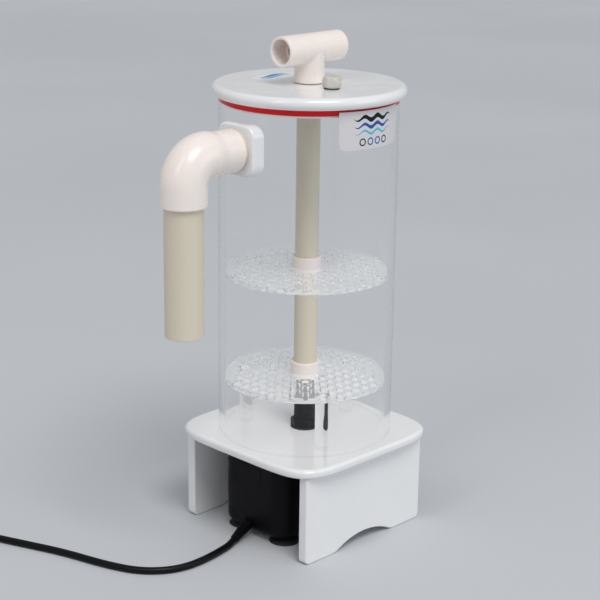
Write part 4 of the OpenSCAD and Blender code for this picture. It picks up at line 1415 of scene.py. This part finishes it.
class REACTOR_OT_works(bpy.types.Operator):
    """Give the pump's inner parts, seals and screws their materials"""
    bl_idname = "reactor.works"
    bl_label = "Inner parts"

    def execute(self, context):
        for name, shown in frame["nodes"].items():
            if not shown.hide_render:
                shown.data.materials.clear()
                shown.data.materials.append(material_of(SLOT_OF[name]))
        return {"FINISHED"}


# ---- stage ----

# angles are degrees, and the lens is in millimetres for a sensor 36 mm wide
CAMERA_TURN = -45.58
CAMERA_TILT = 72.98
CAMERA_ROLL = 0.77
CAMERA_PLACE = Vector((-0.9620, -0.9354, 0.6112))
CAMERA_LENS = 98.3
FLOOR_RADIUS = 9.0
FLOOR_DEPTH = 0.02


def facing(direction):
    """The turn that points a light along a direction."""
    return direction.to_track_quat("-Z", "Y").to_euler()


def soft_box(name, place, aim, size, power, tinge):
    """A soft area light that faces a point."""
    lamp = bpy.data.lights.new(name, "AREA")
    lamp.shape = "RECTANGLE"
    lamp.size, lamp.size_y = size
    lamp.energy, lamp.color = power, tinge
    light = linked(name, lamp)
    light.location = place
    light.rotation_euler = facing(aim - place)


def beside_camera(azimuth, elevation, distance, target):
    """A point at an angle to the camera's side; azimuth 0 looks from the camera's own side."""
    heading = math.radians(CAMERA_TURN + azimuth)
    flat = math.cos(math.radians(elevation))
    away = Vector((math.sin(heading) * flat, -math.cos(heading) * flat, math.sin(math.radians(elevation))))
    return target + away * distance


class REACTOR_OT_stage(bpy.types.Operator):
    """Make the floor, the lights and the camera"""
    bl_idname = "reactor.stage"
    bl_label = "Studio"

    def execute(self, context):
        stage = context.scene.reactor_stage
        ground = loft("floor", [hoop(Z * z, Z, FLOOR_RADIUS, 96) for z in (-FLOOR_DEPTH, 0.0)])
        material, tree, shader = shader_for("Matt studio paper", stage.floor_colour, Specular_IOR_Level=0.2)
        tint(tree, shader, between(tree, cloud(tree, 714, 2), 0, 1), shade(stage.floor_colour, 0.97),
             shade(stage.floor_colour, 1.03))
        tree.links.new(between(tree, cloud(tree, 125), 0.65, 0.8), shader.inputs["Roughness"])
        tooth(tree, shader, cloud(tree, 1.43, 3), 1e-5)
        ground.data.materials.append(material)
        world = context.scene.world or bpy.data.worlds.new("Studio")
        context.scene.world = world
        world.use_nodes = True
        back = world.node_tree.nodes["Background"]
        back.inputs["Color"].default_value = (*stage.sky_colour, 1)
        back.inputs["Strength"].default_value = stage.sky
        aim = Z * 0.22
        lamp = bpy.data.lights.new("key", "SUN")
        lamp.energy, lamp.angle, lamp.color = stage.key, math.radians(28), (1.0, 0.99, 0.975)
        key = linked("key", lamp)
        key.visible_transmission = False  # or the light behind clear acrylic would count twice
        key.rotation_euler = facing(aim - beside_camera(25, 58, 2.0, aim))
        soft_box("side", beside_camera(70, 18, 1.8, aim), aim, (0.9, 0.9), stage.side_power, (0.84, 0.96, 1.0))
        soft_box("strip", beside_camera(-38, 40, 1.7, aim), aim, (0.25, 1.1), stage.strip_power, (1.0, 0.98, 0.96))
        lens = bpy.data.cameras.new("camera")
        lens.lens = CAMERA_LENS
        lens.sensor_width = 36
        lens.clip_start = 0.05
        camera = linked("camera", lens)
        aimed = Euler((math.radians(CAMERA_TILT), 0, math.radians(CAMERA_TURN))).to_matrix()
        roll = Matrix.Rotation(math.radians(CAMERA_ROLL), 3, "Z")
        camera.matrix_world = Matrix.Translation(CAMERA_PLACE) @ (aimed @ roll).to_4x4()
        context.scene.camera = camera
        context.scene.view_settings.view_transform = "Standard"
        return {"FINISHED"}


# ---- sidebar ----

SETTINGS = {
    "reactor_base": ReactorBase,
    "reactor_column": ReactorColumn,
    "reactor_lid": ReactorLid,
    "reactor_outlet": ReactorOutlet,
    "reactor_pump": ReactorPump,
    "reactor_lead": ReactorLead,
    "reactor_stage": ReactorStage,
}
OPERATORS = (
    REACTOR_OT_stage, REACTOR_OT_lead, REACTOR_OT_base, REACTOR_OT_column, REACTOR_OT_lid, REACTOR_OT_riser,
    REACTOR_OT_outlet, REACTOR_OT_pump, REACTOR_OT_works,
)


class REACTOR_PT_sidebar(bpy.types.Panel):
    """Settings and makers of the media reactor"""
    bl_idname = "REACTOR_PT_sidebar"
    bl_label = "Media reactor"
    bl_space_type = "VIEW_3D"
    bl_region_type = "UI"
    bl_category = "Reactor"

    def draw(self, context):
        for name, group in SETTINGS.items():
            box = self.layout.box()
            box.label(text=group.__doc__)
            for key in group.__annotations__:
                box.prop(getattr(context.scene, name), key)
        for operator in OPERATORS:
            self.layout.operator(operator.bl_idname)


def register():
    for made in (*SETTINGS.values(), *OPERATORS, REACTOR_PT_sidebar):
        bpy.utils.register_class(made)
    for name, group in SETTINGS.items():
        setattr(bpy.types.Scene, name, PointerProperty(type=group))


def unregister():
    for name in SETTINGS:
        delattr(bpy.types.Scene, name)
    for made in reversed((*SETTINGS.values(), *OPERATORS, REACTOR_PT_sidebar)):
        bpy.utils.unregister_class(made)


def main():
    """Builds every piece."""
    register()
    for operator in OPERATORS:
        group, name = operator.bl_idname.split(".")
        getattr(getattr(bpy.ops, group), name)()


if __name__ == "__main__":
    main()
